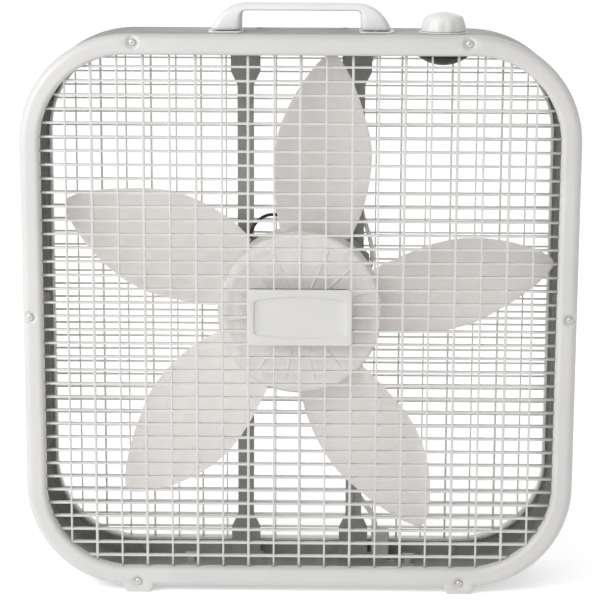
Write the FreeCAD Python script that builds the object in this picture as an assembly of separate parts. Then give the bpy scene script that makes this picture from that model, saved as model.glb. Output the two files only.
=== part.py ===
import FreeCAD, Part
import math
import os

# Twenty-inch box fan. Millimetres. +Z is up, -Y is the front (the air outlet), +X is to the right
# seen from the front. The origin is on the ground under the middle of the fan.

Vector = FreeCAD.Vector
ORIGIN = Vector(0, 0, 0)
FRONT_AXIS = Vector(0, -1, 0)

# Driving dimensions
WIDTH = 532.0                    # over the front bezel
HEIGHT = 573.0                   # ground to the top of the handle
DEPTH = 112.8                    # front bezel to rear grille
FOOT_HEIGHT = 5.5                # ground to the lower edge of the front bezel
BEZEL_HEIGHT = 541.0
BEZEL_CORNER = 102.0             # outer corner radius of the bezel
BEZEL_BAND = 19.4                # width of the bezel seen from the front
BEZEL_WALL = 2.2
BAND_INSET = 0.8                 # the steel band lies this far inside the bezel's outline
BAND_WALL = 0.7
FLANGE_WIDTH = 11.2
FLANGE_Y = 46.0                  # inner face of each of the band's flanges
COLUMN_PITCH = 24.75             # upright grille bars
COLUMN_COUNT = 19
ROW_PITCH = 13.333               # level grille bars
ROW_COUNT = 37
BAR_DEPTH = 5.0
BAR_PLANE = 47.5                 # middle plane of the grille bars, front and rear
FRONT_BARS = (2.4, 1.7, 2.0)     # widths: every second upright, the uprights between, level bars
REAR_BARS = (1.8, 1.2, 1.2)
SCREW_INSET = 7.5                # grille screws, in from the bezel's outline
LOW_SCREW_INSET = 5.4            # the two screws in the tabs at the bottom
SCREW_SEAT = 2.2                 # the heads sit this far below the bezel's face
SCREW_X = 157.5
SCREW_RADIUS = 1.75
TIP_RADIUS = 251.0
HUB_RADIUS = 80.0
HUB_Y = (-30.0, 6.0)
BLADE_COUNT = 5
BLADE_ANGLE = 5.9                # first blade, clockwise from straight up
BLADE_PLANE = -12.0
BLADE_THICKNESS = 2.0
BLADE_CAMBER = 0.06
SHAFT_RADIUS = 4.0
SHAFT_Y = (-33.0, 35.0)
RUNNING_GAP = 0.04
MOTOR_RADIUS = 44.0
STACK_Y = (-1.0, 14.0)           # front and back of the stator's laminations
PLATE_THICKNESS = 1.5            # motor mounting plate
STRUT_X = 54.5
STRUT_WIDTH = 16.0
STRUT_FRONT = 31.0
STRUT_DEPTH = 10.0
STRUT_WALL = 1.0
STRUT_FOOT_DEPTH = 14.0
STRUT_FOOT_HALF = 18.0
CHANNEL_ENDS = 42.0              # flat stretch between each flare and the channel's side walls
FOOT_HALF = 12.0
HOOK_X = 110.0
HOOK_Y = 18.0
LUG_Y = 4.0
HANDLE_LENGTH = 172.0
HANDLE_OPENING = 113.0
HANDLE_HALF_DEPTH = 17.0
GRIP_THICKNESS = 7.0
PAD_THICKNESS = 1.2
KNOB_X = 136.0
KNOB_RADIUS = 22.0
KNOB_FACETS = 12
SPINDLE_RADIUS = 3.0
CUP_RADIUS = 24.0
PORT_Y = 6.0                     # where both leads enter the switch cup
CLAMP_X = (73.0, 91.0)
CLAMP_Y = (27.0, 42.3)
CLAMP_SCREW = (95.0, 26.0)
INLET_X = 79.6
CORD_BORE = 3.6
CORD_BORE_LENGTH = 12.0
LEAD_DIAMETER = 5.0
MOTOR_LEAD_DIAMETER = 4.2
CAPACITOR_LEAD_DIAMETER = 3.2

# Petal shape: distance from the axis, anticlockwise reach, clockwise reach and pitch in degrees.
BLADE_STATIONS = (
    (58.0, 22.0, 36.0, 27.0),
    (90.0, 31.0, 48.0, 26.0),
    (115.0, 37.0, 53.0, 24.5),
    (140.0, 41.0, 54.5, 23.0),
    (165.0, 40.5, 52.0, 21.0),
    (190.0, 35.0, 43.5, 19.0),
    (212.0, 26.5, 34.0, 17.5),
    (230.0, 16.5, 24.5, 16.5),
    (243.0, 7.5, 15.5, 16.0),
    (TIP_RADIUS, -1.0, 8.0, 16.0),
)

# Derived places
FRONT = -DEPTH / 2
REAR = DEPTH / 2
HALF_W = WIDTH / 2
HALF_H = BEZEL_HEIGHT / 2
CENTRE_Z = FOOT_HEIGHT + HALF_H
AXIS = Vector(0, 0, CENTRE_Z)
BAND_TOP = CENTRE_Z + HALF_H - BAND_INSET
BAND_BOTTOM = FOOT_HEIGHT + BAND_INSET
FLOOR_TOP = BAND_BOTTOM + BAND_WALL
CEILING = BAND_TOP - BAND_WALL
FLANGE_FACE = FLANGE_Y + BAND_WALL
FLANGE_EDGE = BAND_INSET + FLANGE_WIDTH
OPEN_HALF_W = HALF_W - BEZEL_BAND
OPEN_HALF_H = HALF_H - BEZEL_BAND
OPEN_CORNER = BEZEL_CORNER - BEZEL_BAND
PLATE_BACK = STRUT_FRONT - 1.6
PLATE_FRONT = PLATE_BACK - PLATE_THICKNESS
CHANNEL_Y = STRUT_FRONT + 5.6
SUPPLY_LANE = STRUT_X - 3.4
MOTOR_LANE = STRUT_X + 3.8
ESCUTCHEON_TOP = BAND_TOP + 0.8
KNOB_BASE = ESCUTCHEON_TOP + 0.3
KNOB_TOP = BAND_TOP + 19.2
CUP_BOTTOM = BAND_TOP - 31.5
PORT_Z = (CEILING - 10.7, CEILING - 19.5)  # supply lead, motor lead
INLET_Z = CENTRE_Z - (ROW_PITCH * (ROW_COUNT // 2) + REAR_BARS[2] / 2 + OPEN_HALF_H) / 2
CLAMP_Z = (FLOOR_TOP + 5.7, FLOOR_TOP + 29.7)
LEAD_START = (77.0, 34.5, CLAMP_Z[1] - 2.6)
CAP_X = (-17.0, 17.0)
CAP_Y = (PLATE_BACK, PLATE_BACK + 12.0)
CAP_Z = (CENTRE_Z + 48.5, CENTRE_Z + 64.5)
LEAD_NOTCH_Z = (CENTRE_Z + 66.0, CENTRE_Z + 104.0)


def at_polar(radius, angle):
    """(x, z) of a point about the fan's axis, the angle clockwise from straight up."""
    turn = math.radians(angle)
    return radius * math.sin(turn), CENTRE_Z + radius * math.cos(turn)


def grille_screw_places():
    """(x, z, inset from the bezel's outline) of the screws that hold each grille."""
    places = []
    for side in (-1, 1):
        places.append((side * SCREW_X, CENTRE_Z - HALF_H + LOW_SCREW_INSET, LOW_SCREW_INSET))
        places.append((side * SCREW_X, CENTRE_Z + HALF_H - SCREW_INSET, SCREW_INSET))
        places.append((side * (HALF_W - SCREW_INSET), CENTRE_Z, SCREW_INSET))
    return places


GRILLE_SCREWS = grille_screw_places()
HANDLE_SCREWS = [(sx * 71.0, sy * 9.0) for sx in (-1, 1) for sy in (-1, 1)]
STRUT_SCREWS = [(sx * STRUT_X + dx, STRUT_FRONT + 7.5) for sx in (-1, 1) for dx in (-13.0, 13.0)]
PLATE_SCREWS = [(sx * STRUT_X, CENTRE_Z + sz * 46.0) for sx in (-1, 1) for sz in (-1, 1)]
LUG_PLACES = [at_polar(54.0, angle) for angle in (45, 135, 225, 315)]
BOLT_PLACES = [at_polar(38.5, angle) for angle in (0, 90, 180, 270)]


# ---------------------------------------------------------------- shape helpers

def box(x0, x1, y0, y1, z0, z1):
    return Part.makeBox(x1 - x0, y1 - y0, z1 - z0, Vector(x0, y0, z0))


def rod(radius, start, end):
    start, end = Vector(*start), Vector(*end)
    return Part.makeCylinder(radius, start.distanceToPoint(end), start, end - start)


def rod_y(radius, x, z, y0, y1):
    return rod(radius, (x, y0, z), (x, y1, z))


def tube_y(outer, inner, x, z, y0, y1):
    return rod_y(outer, x, z, y0, y1).cut(rod_y(inner, x, z, y0 - 1, y1 + 1))


def tube_z(outer, inner, x, y, z0, z1):
    return rod(outer, (x, y, z0), (x, y, z1)).cut(rod(inner, (x, y, z0 - 1), (x, y, z1 + 1)))


def hexagon_y(across, x, z, y0, y1):
    radius = across / math.sqrt(3)
    corners = [Vector(x + radius * math.cos(math.radians(60 * i)), y0,
                      z + radius * math.sin(math.radians(60 * i))) for i in range(7)]
    return Part.Face(Part.makePolygon(corners)).extrude(Vector(0, y1 - y0, 0))


def outline(place, start, *steps):
    """Closed wire through 2D points. A step is an end point, or (point on the arc, end point)."""
    edges, here = [], start
    for step in steps + (start,):
        if isinstance(step[0], tuple):
            edges.append(Part.Arc(place(*here), place(*step[0]), place(*step[1])).toShape())
            here = step[1]
        elif step != here:
            edges.append(Part.LineSegment(place(*here), place(*step)).toShape())
            here = step
    return Part.Wire(edges)


def round_corner(centre, radius, angle):
    """A point on a circle, for naming the middle or end of an arc."""
    turn = math.radians(angle)
    return (centre[0] + radius * math.cos(turn), centre[1] + radius * math.sin(turn))


def turned(centre, start, *steps):
    """Solid of revolution about the fan's axis from an outline of (radius, y) points."""
    def place(radius, y):
        return Vector(radius, y, 0)
    solid = Part.Face(outline(place, start, *steps)).revolve(ORIGIN, Vector(0, 1, 0), 360)
    solid.translate(centre)
    return solid


def turned_up(centre, start, *steps):
    """Solid of revolution about an upright axis from an outline of (radius, z) points."""
    def place(radius, z):
        return Vector(radius, 0, z)
    solid = Part.Face(outline(place, start, *steps)).revolve(ORIGIN, Vector(0, 0, 1), 360)
    solid.translate(centre)
    return solid


def ring(profile, half_w, half_h, radius):
    """Carry a profile round a rounded rectangle. The profile is (inset, y) points and arcs."""
    def corner_place(inset, y):
        return Vector(radius - inset, y, 0)
    pieces = []
    for turn, sx, sz in ((0, 1, 1), (90, -1, 1), (180, -1, -1), (270, 1, -1)):
        corner = Part.Face(outline(corner_place, *profile)).revolve(ORIGIN, FRONT_AXIS, 90)
        corner.rotate(ORIGIN, FRONT_AXIS, turn)
        corner.translate(Vector(sx * (half_w - radius), 0, sz * (half_h - radius)))
        pieces.append(corner)
    for turn, reach, run in ((0, half_w, half_h), (90, half_h, half_w)):
        for extra in (0, 180):
            def side_place(inset, y):
                return Vector(reach - inset, y, -(run - radius))
            side = Part.Face(outline(side_place, *profile)).extrude(Vector(0, 0, 2 * (run - radius)))
            side.rotate(ORIGIN, FRONT_AXIS, turn + extra)
            pieces.append(side)
    body = pieces[0].fuse(pieces[1:]).removeSplitter()
    body.translate(Vector(0, 0, CENTRE_Z))
    return body


def rounded_rectangle(half_w, half_h, radius, y):
    """Wire of a rounded rectangle about the fan's axis, in the plane of the given y."""
    def place(x, z):
        return Vector(x, y, CENTRE_Z + z)
    w, h, cx, cz = half_w, half_h, half_w - radius, half_h - radius
    def bend(sx, sz):
        return round_corner((sx * cx, sz * cz), radius, math.degrees(math.atan2(sz, sx)))
    return outline(place, (w, -cz), (w, cz), (bend(1, 1), (cx, h)), (-cx, h), (bend(-1, 1), (-w, cz)),
                   (-w, -cz), (bend(-1, -1), (-cx, -h)), (cx, -h), (bend(1, -1), (w, -cz)))


def fused(pieces):
    return pieces[0].fuse(pieces[1:]).removeSplitter() if len(pieces) > 1 else pieces[0]


def group(pieces):
    return Part.makeCompound(pieces)


def lead(points, diameter):
    """Round lead along straight runs joined by tangent arcs as large as the runs allow."""
    points = [Vector(*p) for p in points]
    edges, here = [], points[0]
    for before, corner, after in zip(points, points[1:], points[2:]):
        to_before, to_after = before - corner, after - corner
        turn = math.pi - to_before.getAngle(to_after)
        setback = 0.45 * min(to_before.Length, to_after.Length)
        radius = setback / math.tan(turn / 2)
        u, v = to_before.normalize(), to_after.normalize()
        start, end = corner + u * setback, corner + v * setback
        inward = (u + v).normalize()
        middle = corner + inward * (radius / math.cos(turn / 2) - radius)
        if here.distanceToPoint(start) > 1e-6:
            edges.append(Part.LineSegment(here, start).toShape())
        edges.append(Part.Arc(start, middle, end).toShape())
        here = end
        print("lead bend radius %.1f mm" % radius)
    edges.append(Part.LineSegment(here, points[-1]).toShape())
    path = Part.Wire(edges)
    section = Part.Wire(Part.Circle(points[0], points[1] - points[0], diameter / 2).toShape())
    solid = path.makePipeShell([section], True, False)
    expected = math.pi * diameter ** 2 / 4 * path.Length
    print("lead length %.0f mm, volume ratio %.4f" % (path.Length, solid.Volume / expected))
    return solid


# ---------------------------------------------------------------- grilles

def bar_edges(count, pitch, even_width, odd_width):
    """Lower and upper edge of each bar. Bars an even number of steps from the middle have one width."""
    half = count // 2
    bars = []
    for k in range(-half, half + 1):
        reach = (even_width if k % 2 == 0 else odd_width) / 2
        bars.append((k * pitch - reach, k * pitch + reach))
    return bars


def spans(bars, half_opening):
    """The open stretches between bars, out to the edge of the opening."""
    edges = [-half_opening] + [edge for bar in bars for edge in bar] + [half_opening]
    return list(zip(edges[0::2], edges[1::2]))


def window_wires(y, bars, plate_half_w, plate_half_h):
    """The grille's openings, clipped by the rounded corners and left out where the plate is."""
    thick, thin, level = bars
    columns = bar_edges(COLUMN_COUNT, COLUMN_PITCH, thick, thin)
    rows = bar_edges(ROW_COUNT, ROW_PITCH, level, level)
    limit = Part.Face(rounded_rectangle(OPEN_HALF_W, OPEN_HALF_H, OPEN_CORNER, y))
    corner_x, corner_z = OPEN_HALF_W - OPEN_CORNER, OPEN_HALF_H - OPEN_CORNER
    wires = []
    for x0, x1 in spans(columns, OPEN_HALF_W):
        for z0, z1 in spans(rows, OPEN_HALF_H):
            if abs(x0 + x1) / 2 < plate_half_w and abs(z0 + z1) / 2 < plate_half_h:
                continue
            corners = [Vector(x, y, CENTRE_Z + z)
                       for x, z in ((x0, z0), (x1, z0), (x1, z1), (x0, z1), (x0, z0))]
            window = Part.makePolygon(corners)
            reach = math.hypot(max(abs(x0), abs(x1)) - corner_x, max(abs(z0), abs(z1)) - corner_z)
            beyond = max(abs(x0), abs(x1)) > corner_x and max(abs(z0), abs(z1)) > corner_z
            if beyond and reach > OPEN_CORNER - 0.01:
                clipped = Part.Face(window).common(limit).Faces
                wires += [face.OuterWire for face in clipped if face.Area > 6.0]
            else:
                wires.append(window)
    return wires


def grille_field(bars, plate_half_w=0, plate_half_h=0):
    """The flat field of crossing bars, reaching half way into the bezel's inner wall."""
    overlap = BEZEL_WALL / 2
    y = -BAR_PLANE - BAR_DEPTH / 2
    edge = rounded_rectangle(OPEN_HALF_W + overlap, OPEN_HALF_H + overlap, OPEN_CORNER + overlap, y)
    wires = [edge] + window_wires(y, bars, plate_half_w, plate_half_h)
    return Part.makeFace(wires, "Part::FaceMakerCheese").extrude(Vector(0, BAR_DEPTH, 0))


def bezel_profile(outer_inset, outer_bend, inner_bend):
    """Channel section of a bezel, open to the back: outer wall, face and inner wall."""
    t = BEZEL_WALL
    skirt_end = -FLANGE_FACE
    back = -BAR_PLANE + BAR_DEPTH
    face = FRONT
    outer_c = (outer_inset + outer_bend, face + outer_bend)
    inner_c = (BEZEL_BAND - inner_bend, face + inner_bend)
    return (
        (outer_inset, skirt_end), (outer_inset, outer_c[1]),
        (round_corner(outer_c, outer_bend, 225), (outer_c[0], face)), (inner_c[0], face),
        (round_corner(inner_c, inner_bend, 315), (BEZEL_BAND, inner_c[1])),
        (BEZEL_BAND, back), (BEZEL_BAND - t, back), (BEZEL_BAND - t, inner_c[1]),
        (round_corner(inner_c, inner_bend - t, 315), (inner_c[0], face + t)), (outer_c[0], face + t),
        (round_corner(outer_c, outer_bend - t, 225), (outer_inset + t, outer_c[1])),
        (outer_inset + t, skirt_end))


def screw_bosses(body):
    """Add a boss, a counterbore for the head and a clearance hole at each grille screw."""
    boss_back = -FLANGE_FACE - 1.7
    bosses = []
    holes = []
    for x, z, inset in GRILLE_SCREWS:
        bosses.append(rod_y(min(4.6, inset - 0.5), x, z, FRONT + 1.0, boss_back))
        holes.append(rod_y(3.9, x, z, FRONT - 1, FRONT + SCREW_SEAT))
        holes.append(rod_y(SCREW_RADIUS + 0.15, x, z, FRONT, boss_back + 1))
    return body.fuse(bosses).cut(Part.makeCompound(holes))


def foot_tabs():
    """Tabs moulded on the front bezel: they take the two bottom screws and reach the ground."""
    tabs = []
    for side in (-1, 1):
        x = side * SCREW_X
        corners = [(x - 11.5, 0), (x + 11.5, 0), (x + 15.0, FOOT_HEIGHT + 1.0), (x + 15.0, FOOT_HEIGHT + 9.6),
                   (x - 15.0, FOOT_HEIGHT + 9.6), (x - 15.0, FOOT_HEIGHT + 1.0), (x - 11.5, 0)]
        face = Part.Face(Part.makePolygon([Vector(px, FRONT + 0.7, pz) for px, pz in corners]))
        tabs.append(face.extrude(Vector(0, -FLANGE_FACE - 1.7 - FRONT - 0.7, 0)))
    return tabs


def badge_plate():
    """Blank plate in the middle of the front grille with a barrel-shaped shallow panel."""
    half_w, half_h = 2 * COLUMN_PITCH + FRONT_BARS[0] / 2, 2 * ROW_PITCH + FRONT_BARS[2] / 2
    front = -BAR_PLANE - BAR_DEPTH / 2 - 1.4
    plate = box(-half_w, half_w, front, -BAR_PLANE + 1.0, CENTRE_Z - half_h, CENTRE_Z + half_h)
    middle_y = (front - BAR_PLANE + 1.0) / 2
    plate = plate.makeFillet(2.0, [e for e in plate.Edges if abs(e.CenterOfMass.y - middle_y) < 0.1])
    panel_w, panel_edge, panel_middle = 44.0, 16.5, 20.5
    def place(x, z):
        return Vector(x, front - 1, CENTRE_Z + z)
    panel = Part.Face(outline(place, (-panel_w, -panel_edge), ((0, -panel_middle), (panel_w, -panel_edge)),
                              (panel_w, panel_edge), ((0, panel_middle), (-panel_w, panel_edge))))
    return plate.cut(panel.extrude(Vector(0, 2.2, 0)))


def make_front_grille():
    bezel = ring(bezel_profile(0.0, 8.0, 5.0), HALF_W, HALF_H, BEZEL_CORNER)
    bezel = screw_bosses(fused([bezel] + foot_tabs()))
    field = grille_field(FRONT_BARS, 2 * COLUMN_PITCH, 2 * ROW_PITCH)
    return fused([bezel, field, badge_plate()])


def make_rear_grille():
    bezel = screw_bosses(ring(bezel_profile(BAND_INSET, 4.0, 4.0), HALF_W, HALF_H, BEZEL_CORNER))
    grille = fused([bezel, grille_field(REAR_BARS)])
    grille.rotate(ORIGIN, Vector(0, 0, 1), 180)
    return grille


def pan_screw(x, z, head_y, length, inward=1):
    """Pan-head screw along Y with a cross recess. inward is +1 when the shank runs towards +Y."""
    head = turned(Vector(x, head_y, z), (0, 0), (3.3, 0), ((3.0, -1.3), (1.6, -1.95)), (0, -2.0))
    shank = rod_y(SCREW_RADIUS, x, z, head_y, head_y + length)
    cross = [box(x - 1.9, x + 1.9, head_y - 3, head_y - 0.9, z - 0.35, z + 0.35),
             box(x - 0.35, x + 0.35, head_y - 3, head_y - 0.9, z - 1.9, z + 1.9)]
    screw = head.fuse(shank).cut(cross[0].fuse(cross[1]))
    if inward < 0:
        screw.rotate(Vector(x, head_y, z), Vector(0, 0, 1), 180)
    return screw


def make_front_screws():
    return group([pan_screw(x, z, FRONT + SCREW_SEAT, 13.0) for x, z, _ in GRILLE_SCREWS])


def make_rear_screws():
    return group([pan_screw(x, z, REAR - SCREW_SEAT, 13.0, inward=-1) for x, z, _ in GRILLE_SCREWS])


def speed_clip(x, z, side, inset, flange_turn):
    """U-shaped spring nut pushed over the flange. flange_turn turns it to the flange's direction."""
    gap, sheet, half_w = BAND_WALL / 2 + 0.05, 0.6, 4.5
    reach = FLANGE_EDGE - inset + 0.9
    lip = min(2.6, inset - BAND_INSET - BEZEL_WALL - 0.1)
    middle = side * (FLANGE_Y + BAND_WALL / 2)
    legs = [box(-reach, lip, middle + s, middle + s + sheet, -half_w, half_w) for s in (gap, -gap - sheet)]
    bridge = box(-reach - sheet, -reach, middle - gap - sheet, middle + gap + sheet, -half_w, half_w)
    clip = fused(legs + [bridge]).cut(rod_y(SCREW_RADIUS + 0.05, 0, 0, middle - 5, middle + 5))
    clip.rotate(ORIGIN, FRONT_AXIS, flange_turn)
    clip.translate(Vector(x, 0, z))
    return clip


def make_speed_clips():
    clips = []
    for x, z, inset in GRILLE_SCREWS:
        turn = (0 if x > 0 else 180) if z == CENTRE_Z else (90 if z > CENTRE_Z else 270)
        clips += [speed_clip(x, z, side, inset, turn) for side in (-1, 1)]
    return group(clips)


# ---------------------------------------------------------------- housing

def floor_hook_slots(sign):
    """Slots in the steel floor for the hooks of one foot."""
    x = sign * HOOK_X
    return [box(x - 6.8, x + 6.8, HOOK_Y - 1.9, HOOK_Y + 1.9, BAND_BOTTOM - 1, FLOOR_TOP + 1),
            box(x - 6.6, x + 6.6, LUG_Y - 1.4, LUG_Y + 1.4, BAND_BOTTOM - 1, FLOOR_TOP + 1)]


def make_housing_band():
    """Painted steel band round the fan with an inward flange at the front and at the back."""
    a, b, t = BAND_INSET, FLANGE_EDGE, BAND_WALL
    outer, inner = FLANGE_FACE, FLANGE_Y
    profile = ((a, -outer), (a, outer), (b, outer), (b, inner), (a + t, inner), (a + t, -inner), (b, -inner),
               (b, -outer))
    band = ring(profile, HALF_W, HALF_H, BEZEL_CORNER)
    cuts = [rod_y(SCREW_RADIUS + 0.25, x, z, -60, 60) for x, z, _ in GRILLE_SCREWS]
    cuts += floor_hook_slots(-1) + floor_hook_slots(1)
    cuts += [rod(2.2, (x, y, CEILING - 1), (x, y, BAND_TOP + 1)) for x, y in HANDLE_SCREWS]
    cuts.append(rod(5.2, (KNOB_X, 0, CEILING - 1), (KNOB_X, 0, BAND_TOP + 1)))
    for x, y in STRUT_SCREWS:
        cuts += [rod(1.7, (x, y, CEILING - 1), (x, y, BAND_TOP + 1)),
                 rod(1.7, (x, y, BAND_BOTTOM - 1), (x, y, FLOOR_TOP + 1))]
    cuts.append(rod(1.7, (CLAMP_SCREW[0], CLAMP_SCREW[1], BAND_BOTTOM - 1),
                    (CLAMP_SCREW[0], CLAMP_SCREW[1], FLOOR_TOP + 1)))
    return band.cut(Part.makeCompound(cuts))


def make_foot(sign):
    """White moulded foot: a runner behind the front tab with an arm that snaps into the steel floor."""
    front = -FLANGE_FACE - 1.5
    x0, x1 = SCREW_X - FOOT_HALF, SCREW_X + FOOT_HALF
    low = box(x0, x1, front, REAR - 2, 0, FOOT_HEIGHT - 0.1)
    low = low.makeFillet(1.5, [e for e in low.Edges if e.CenterOfMass.z < 0.1])
    high = box(x0, x1, -FLANGE_FACE + 0.4, FLANGE_FACE - 0.4, 2, BAND_BOTTOM)
    arm = box(HOOK_X - 11, x0 + 1, LUG_Y - 8, HOOK_Y + 8, BAND_BOTTOM - 3.2, BAND_BOTTOM)
    stem = box(HOOK_X - 3.2, HOOK_X + 3.2, HOOK_Y - 1.5, HOOK_Y + 1.5, BAND_BOTTOM - 1, FLOOR_TOP + 6.2)
    head = box(HOOK_X - 6.3, HOOK_X + 6.3, HOOK_Y - 1.5, HOOK_Y + 1.5, FLOOR_TOP + 5.1, FLOOR_TOP + 10.3)
    lug = box(HOOK_X - 6.1, HOOK_X + 6.1, LUG_Y - 1.0, LUG_Y + 1.0, BAND_BOTTOM - 1, FLOOR_TOP + 3.1)
    foot = fused([low, high, arm, stem, head, lug])
    return foot if sign > 0 else foot.mirror(ORIGIN, Vector(1, 0, 0))


# ---------------------------------------------------------------- handle

def handle_profile():
    """Side view of the handle as an arch: convex shoulders, flat grip and a finger gap."""
    end, inner = HANDLE_LENGTH / 2, HANDLE_OPENING / 2
    base, top = BAND_TOP + PAD_THICKNESS, HEIGHT
    gap_top, fillet = top - GRIP_THICKNESS, 4.0
    def place(x, z):
        return Vector(x, -HANDLE_HALF_DEPTH, z)
    bend = round_corner((inner - fillet, gap_top - fillet), fillet, 45)
    bend_left = (-bend[0], bend[1])
    shoulder = ((end - 6.0, base + 13.0), (end - 27.0, top))
    return outline(
        place, (end, base), shoulder, (-(end - 27.0), top),
        ((-(end - 6.0), base + 13.0), (-end, base)), (-inner, base), (-inner, gap_top - fillet),
        (bend_left, (-(inner - fillet), gap_top)), (inner - fillet, gap_top), (bend, (inner, gap_top - fillet)),
        (inner, base))


def make_handle():
    """One-piece moulded grip, rounded along both long top edges."""
    arch = Part.Face(handle_profile()).extrude(Vector(0, 2 * HANDLE_HALF_DEPTH, 0))
    def place(y, z):
        return Vector(-HANDLE_LENGTH, y, z)
    half, base, top = HANDLE_HALF_DEPTH, BAND_TOP + PAD_THICKNESS, HEIGHT
    cross = Part.Face(outline(place, (-half, base), (-half, base + 7),
                              ((-half + 5.2, top - 4.4), (-half + 11, top)), (half - 11, top),
                              ((half - 5.2, top - 4.4), (half, base + 7)), (half, base)))
    body = arch.common(cross.extrude(Vector(2 * HANDLE_LENGTH, 0, 0)))
    holes = [rod(1.7, (x, y, base - 1), (x, y, base + 10)) for x, y in HANDLE_SCREWS]
    return body.cut(Part.makeCompound(holes))


def make_handle_pads():
    """Thin mounting pads between the handle's legs and the steel band."""
    pads = []
    for sign in (-1, 1):
        x0, x1 = sorted((sign * (HANDLE_OPENING / 2 - 1), sign * (HANDLE_LENGTH / 2 + 2.5)))
        pad = box(x0, x1, -HANDLE_HALF_DEPTH - 2, HANDLE_HALF_DEPTH + 2, BAND_TOP, BAND_TOP + PAD_THICKNESS)
        middle_z = BAND_TOP + PAD_THICKNESS / 2
        pad = pad.makeFillet(5.0, [e for e in pad.Edges if abs(e.CenterOfMass.z - middle_z) < 0.1])
        holes = [rod(2.2, (x, y, BAND_TOP - 1), (x, y, BAND_TOP + 4)) for x, y in HANDLE_SCREWS]
        pads.append(pad.cut(Part.makeCompound(holes)))
    return group(pads)


def upright_screw(x, y, seat, length, direction, head_height=1.8):
    """Screw along Z with its head against the seat; direction is the way the shank points."""
    top = seat - direction * head_height
    head = rod(3.2, (x, y, seat), (x, y, top))
    shank = rod(1.6, (x, y, seat), (x, y, seat + direction * length))
    slot = box(x - 2.2, x + 2.2, y - 0.4, y + 0.4, top - head_height / 2, top + head_height / 2)
    return head.fuse(shank).cut(slot)


def make_handle_screws():
    return group([upright_screw(x, y, CEILING, 9.0, 1) for x, y in HANDLE_SCREWS])


# ---------------------------------------------------------------- struts

def make_strut(sign):
    """Upright channel at the back that carries the motor; both ends are flared and footed."""
    x, half, t = sign * STRUT_X, STRUT_WIDTH / 2, STRUT_WALL
    low, high = FLOOR_TOP + 47.7, CEILING - 53.7
    front, back = STRUT_FRONT, STRUT_FRONT + STRUT_DEPTH
    pieces = [box(x - half, x + half, front, front + t, low, high)]
    pieces += [box(x0, x0 + t, front, back, low + CHANNEL_ENDS, high - CHANNEL_ENDS)
               for x0 in (x - half, x + half - t)]
    pieces.append(rod(1.6, (x, front + 0.9, low), (x, front + 0.9, high)).common(
        box(x - 3, x + 3, front - 3, front + t, low, high)))
    for wide_z, narrow_z, foot_z in ((low - 14, low, FLOOR_TOP), (high + 13, high, CEILING)):
        flare = 14.5
        corners = [(x - half, narrow_z), (x - flare, wide_z), (x - flare, foot_z), (x + flare, foot_z),
                   (x + flare, wide_z), (x + half, narrow_z), (x - half, narrow_z)]
        web = Part.Face(Part.makePolygon([Vector(px, front, pz) for px, pz in corners]))
        pieces.append(web.extrude(Vector(0, t, 0)))
        inside = 1 if foot_z < CENTRE_Z else -1
        z0, z1 = sorted((foot_z, foot_z + inside * t))
        pieces.append(box(x - STRUT_FOOT_HALF, x + STRUT_FOOT_HALF, front, front + STRUT_FOOT_DEPTH, z0, z1))
        z0, z1 = sorted((foot_z, foot_z + inside * 7.0))
        pieces.append(box(x - STRUT_FOOT_HALF, x + STRUT_FOOT_HALF, front, front + t, z0, z1))
    strut = fused(pieces)
    holes = [rod(1.7, (sx, sy, 0), (sx, sy, HEIGHT)) for sx, sy in STRUT_SCREWS if sx * sign > 0]
    holes += [rod_y(SCREW_RADIUS + 0.05, px, pz, front - 4, front + 4)
              for px, pz in PLATE_SCREWS if px * sign > 0]
    if sign > 0:
        holes.append(box(x + half - 2, x + half + 1, front + 1.5, back + 1, *LEAD_NOTCH_Z))
    return strut.cut(Part.makeCompound(holes))


def make_strut_screws():
    screws = []
    for x, y in STRUT_SCREWS:
        screws += [upright_screw(x, y, BAND_BOTTOM, 6.0, 1, 0.9), upright_screw(x, y, BAND_TOP, 6.0, -1, 0.9)]
    return group(screws)


# ---------------------------------------------------------------- motor

def make_motor_mount():
    """Steel plate across the struts with a round hole for the back of the motor."""
    half, cut = 68.0, 20.0
    corners = [(-half, -half + cut), (-half + cut, -half), (half - cut, -half), (half, -half + cut),
               (half, half - cut), (half - cut, half), (-half + cut, half), (-half, half - cut)]
    ring_points = [Vector(x, PLATE_FRONT, CENTRE_Z + z) for x, z in corners + corners[:1]]
    plate = Part.Face(Part.makePolygon(ring_points)).extrude(Vector(0, PLATE_BACK - PLATE_FRONT, 0))
    cuts = [rod_y(MOTOR_RADIUS + 1.0, 0, CENTRE_Z, PLATE_FRONT - 1, PLATE_BACK + 1)]
    cuts += [rod_y(2.2, x, z, PLATE_FRONT - 1, PLATE_BACK + 1) for x, z in LUG_PLACES]
    cuts += [rod_y(1.8, x, z, PLATE_FRONT - 1, PLATE_BACK + 1) for x, z in PLATE_SCREWS]
    cuts.append(box(-15, 15, PLATE_FRONT - 1, PLATE_BACK + 1, CENTRE_Z - 62, CENTRE_Z - 54))
    return plate.cut(Part.makeCompound(cuts))


def make_mount_spacers():
    """Rubber washers between the motor plate and the struts."""
    return group([tube_y(5.0, 1.8, x, z, PLATE_BACK, STRUT_FRONT - 0.7) for x, z in PLATE_SCREWS])


def make_mount_screws():
    """Screws that hold the motor plate to the struts."""
    return group([pan_screw(x, z, PLATE_FRONT, 6.0) for x, z in PLATE_SCREWS])


def bell_cuts(y0, y1, offset):
    """Cooling slots through the end wall of a motor bell."""
    cuts = []
    for i in range(6):
        slot = box(-3.5, 3.5, y0, y1, 17, 31)
        slot.rotate(ORIGIN, FRONT_AXIS, offset + 60 * i)
        slot.translate(AXIS)
        cuts.append(slot)
    return cuts


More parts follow.
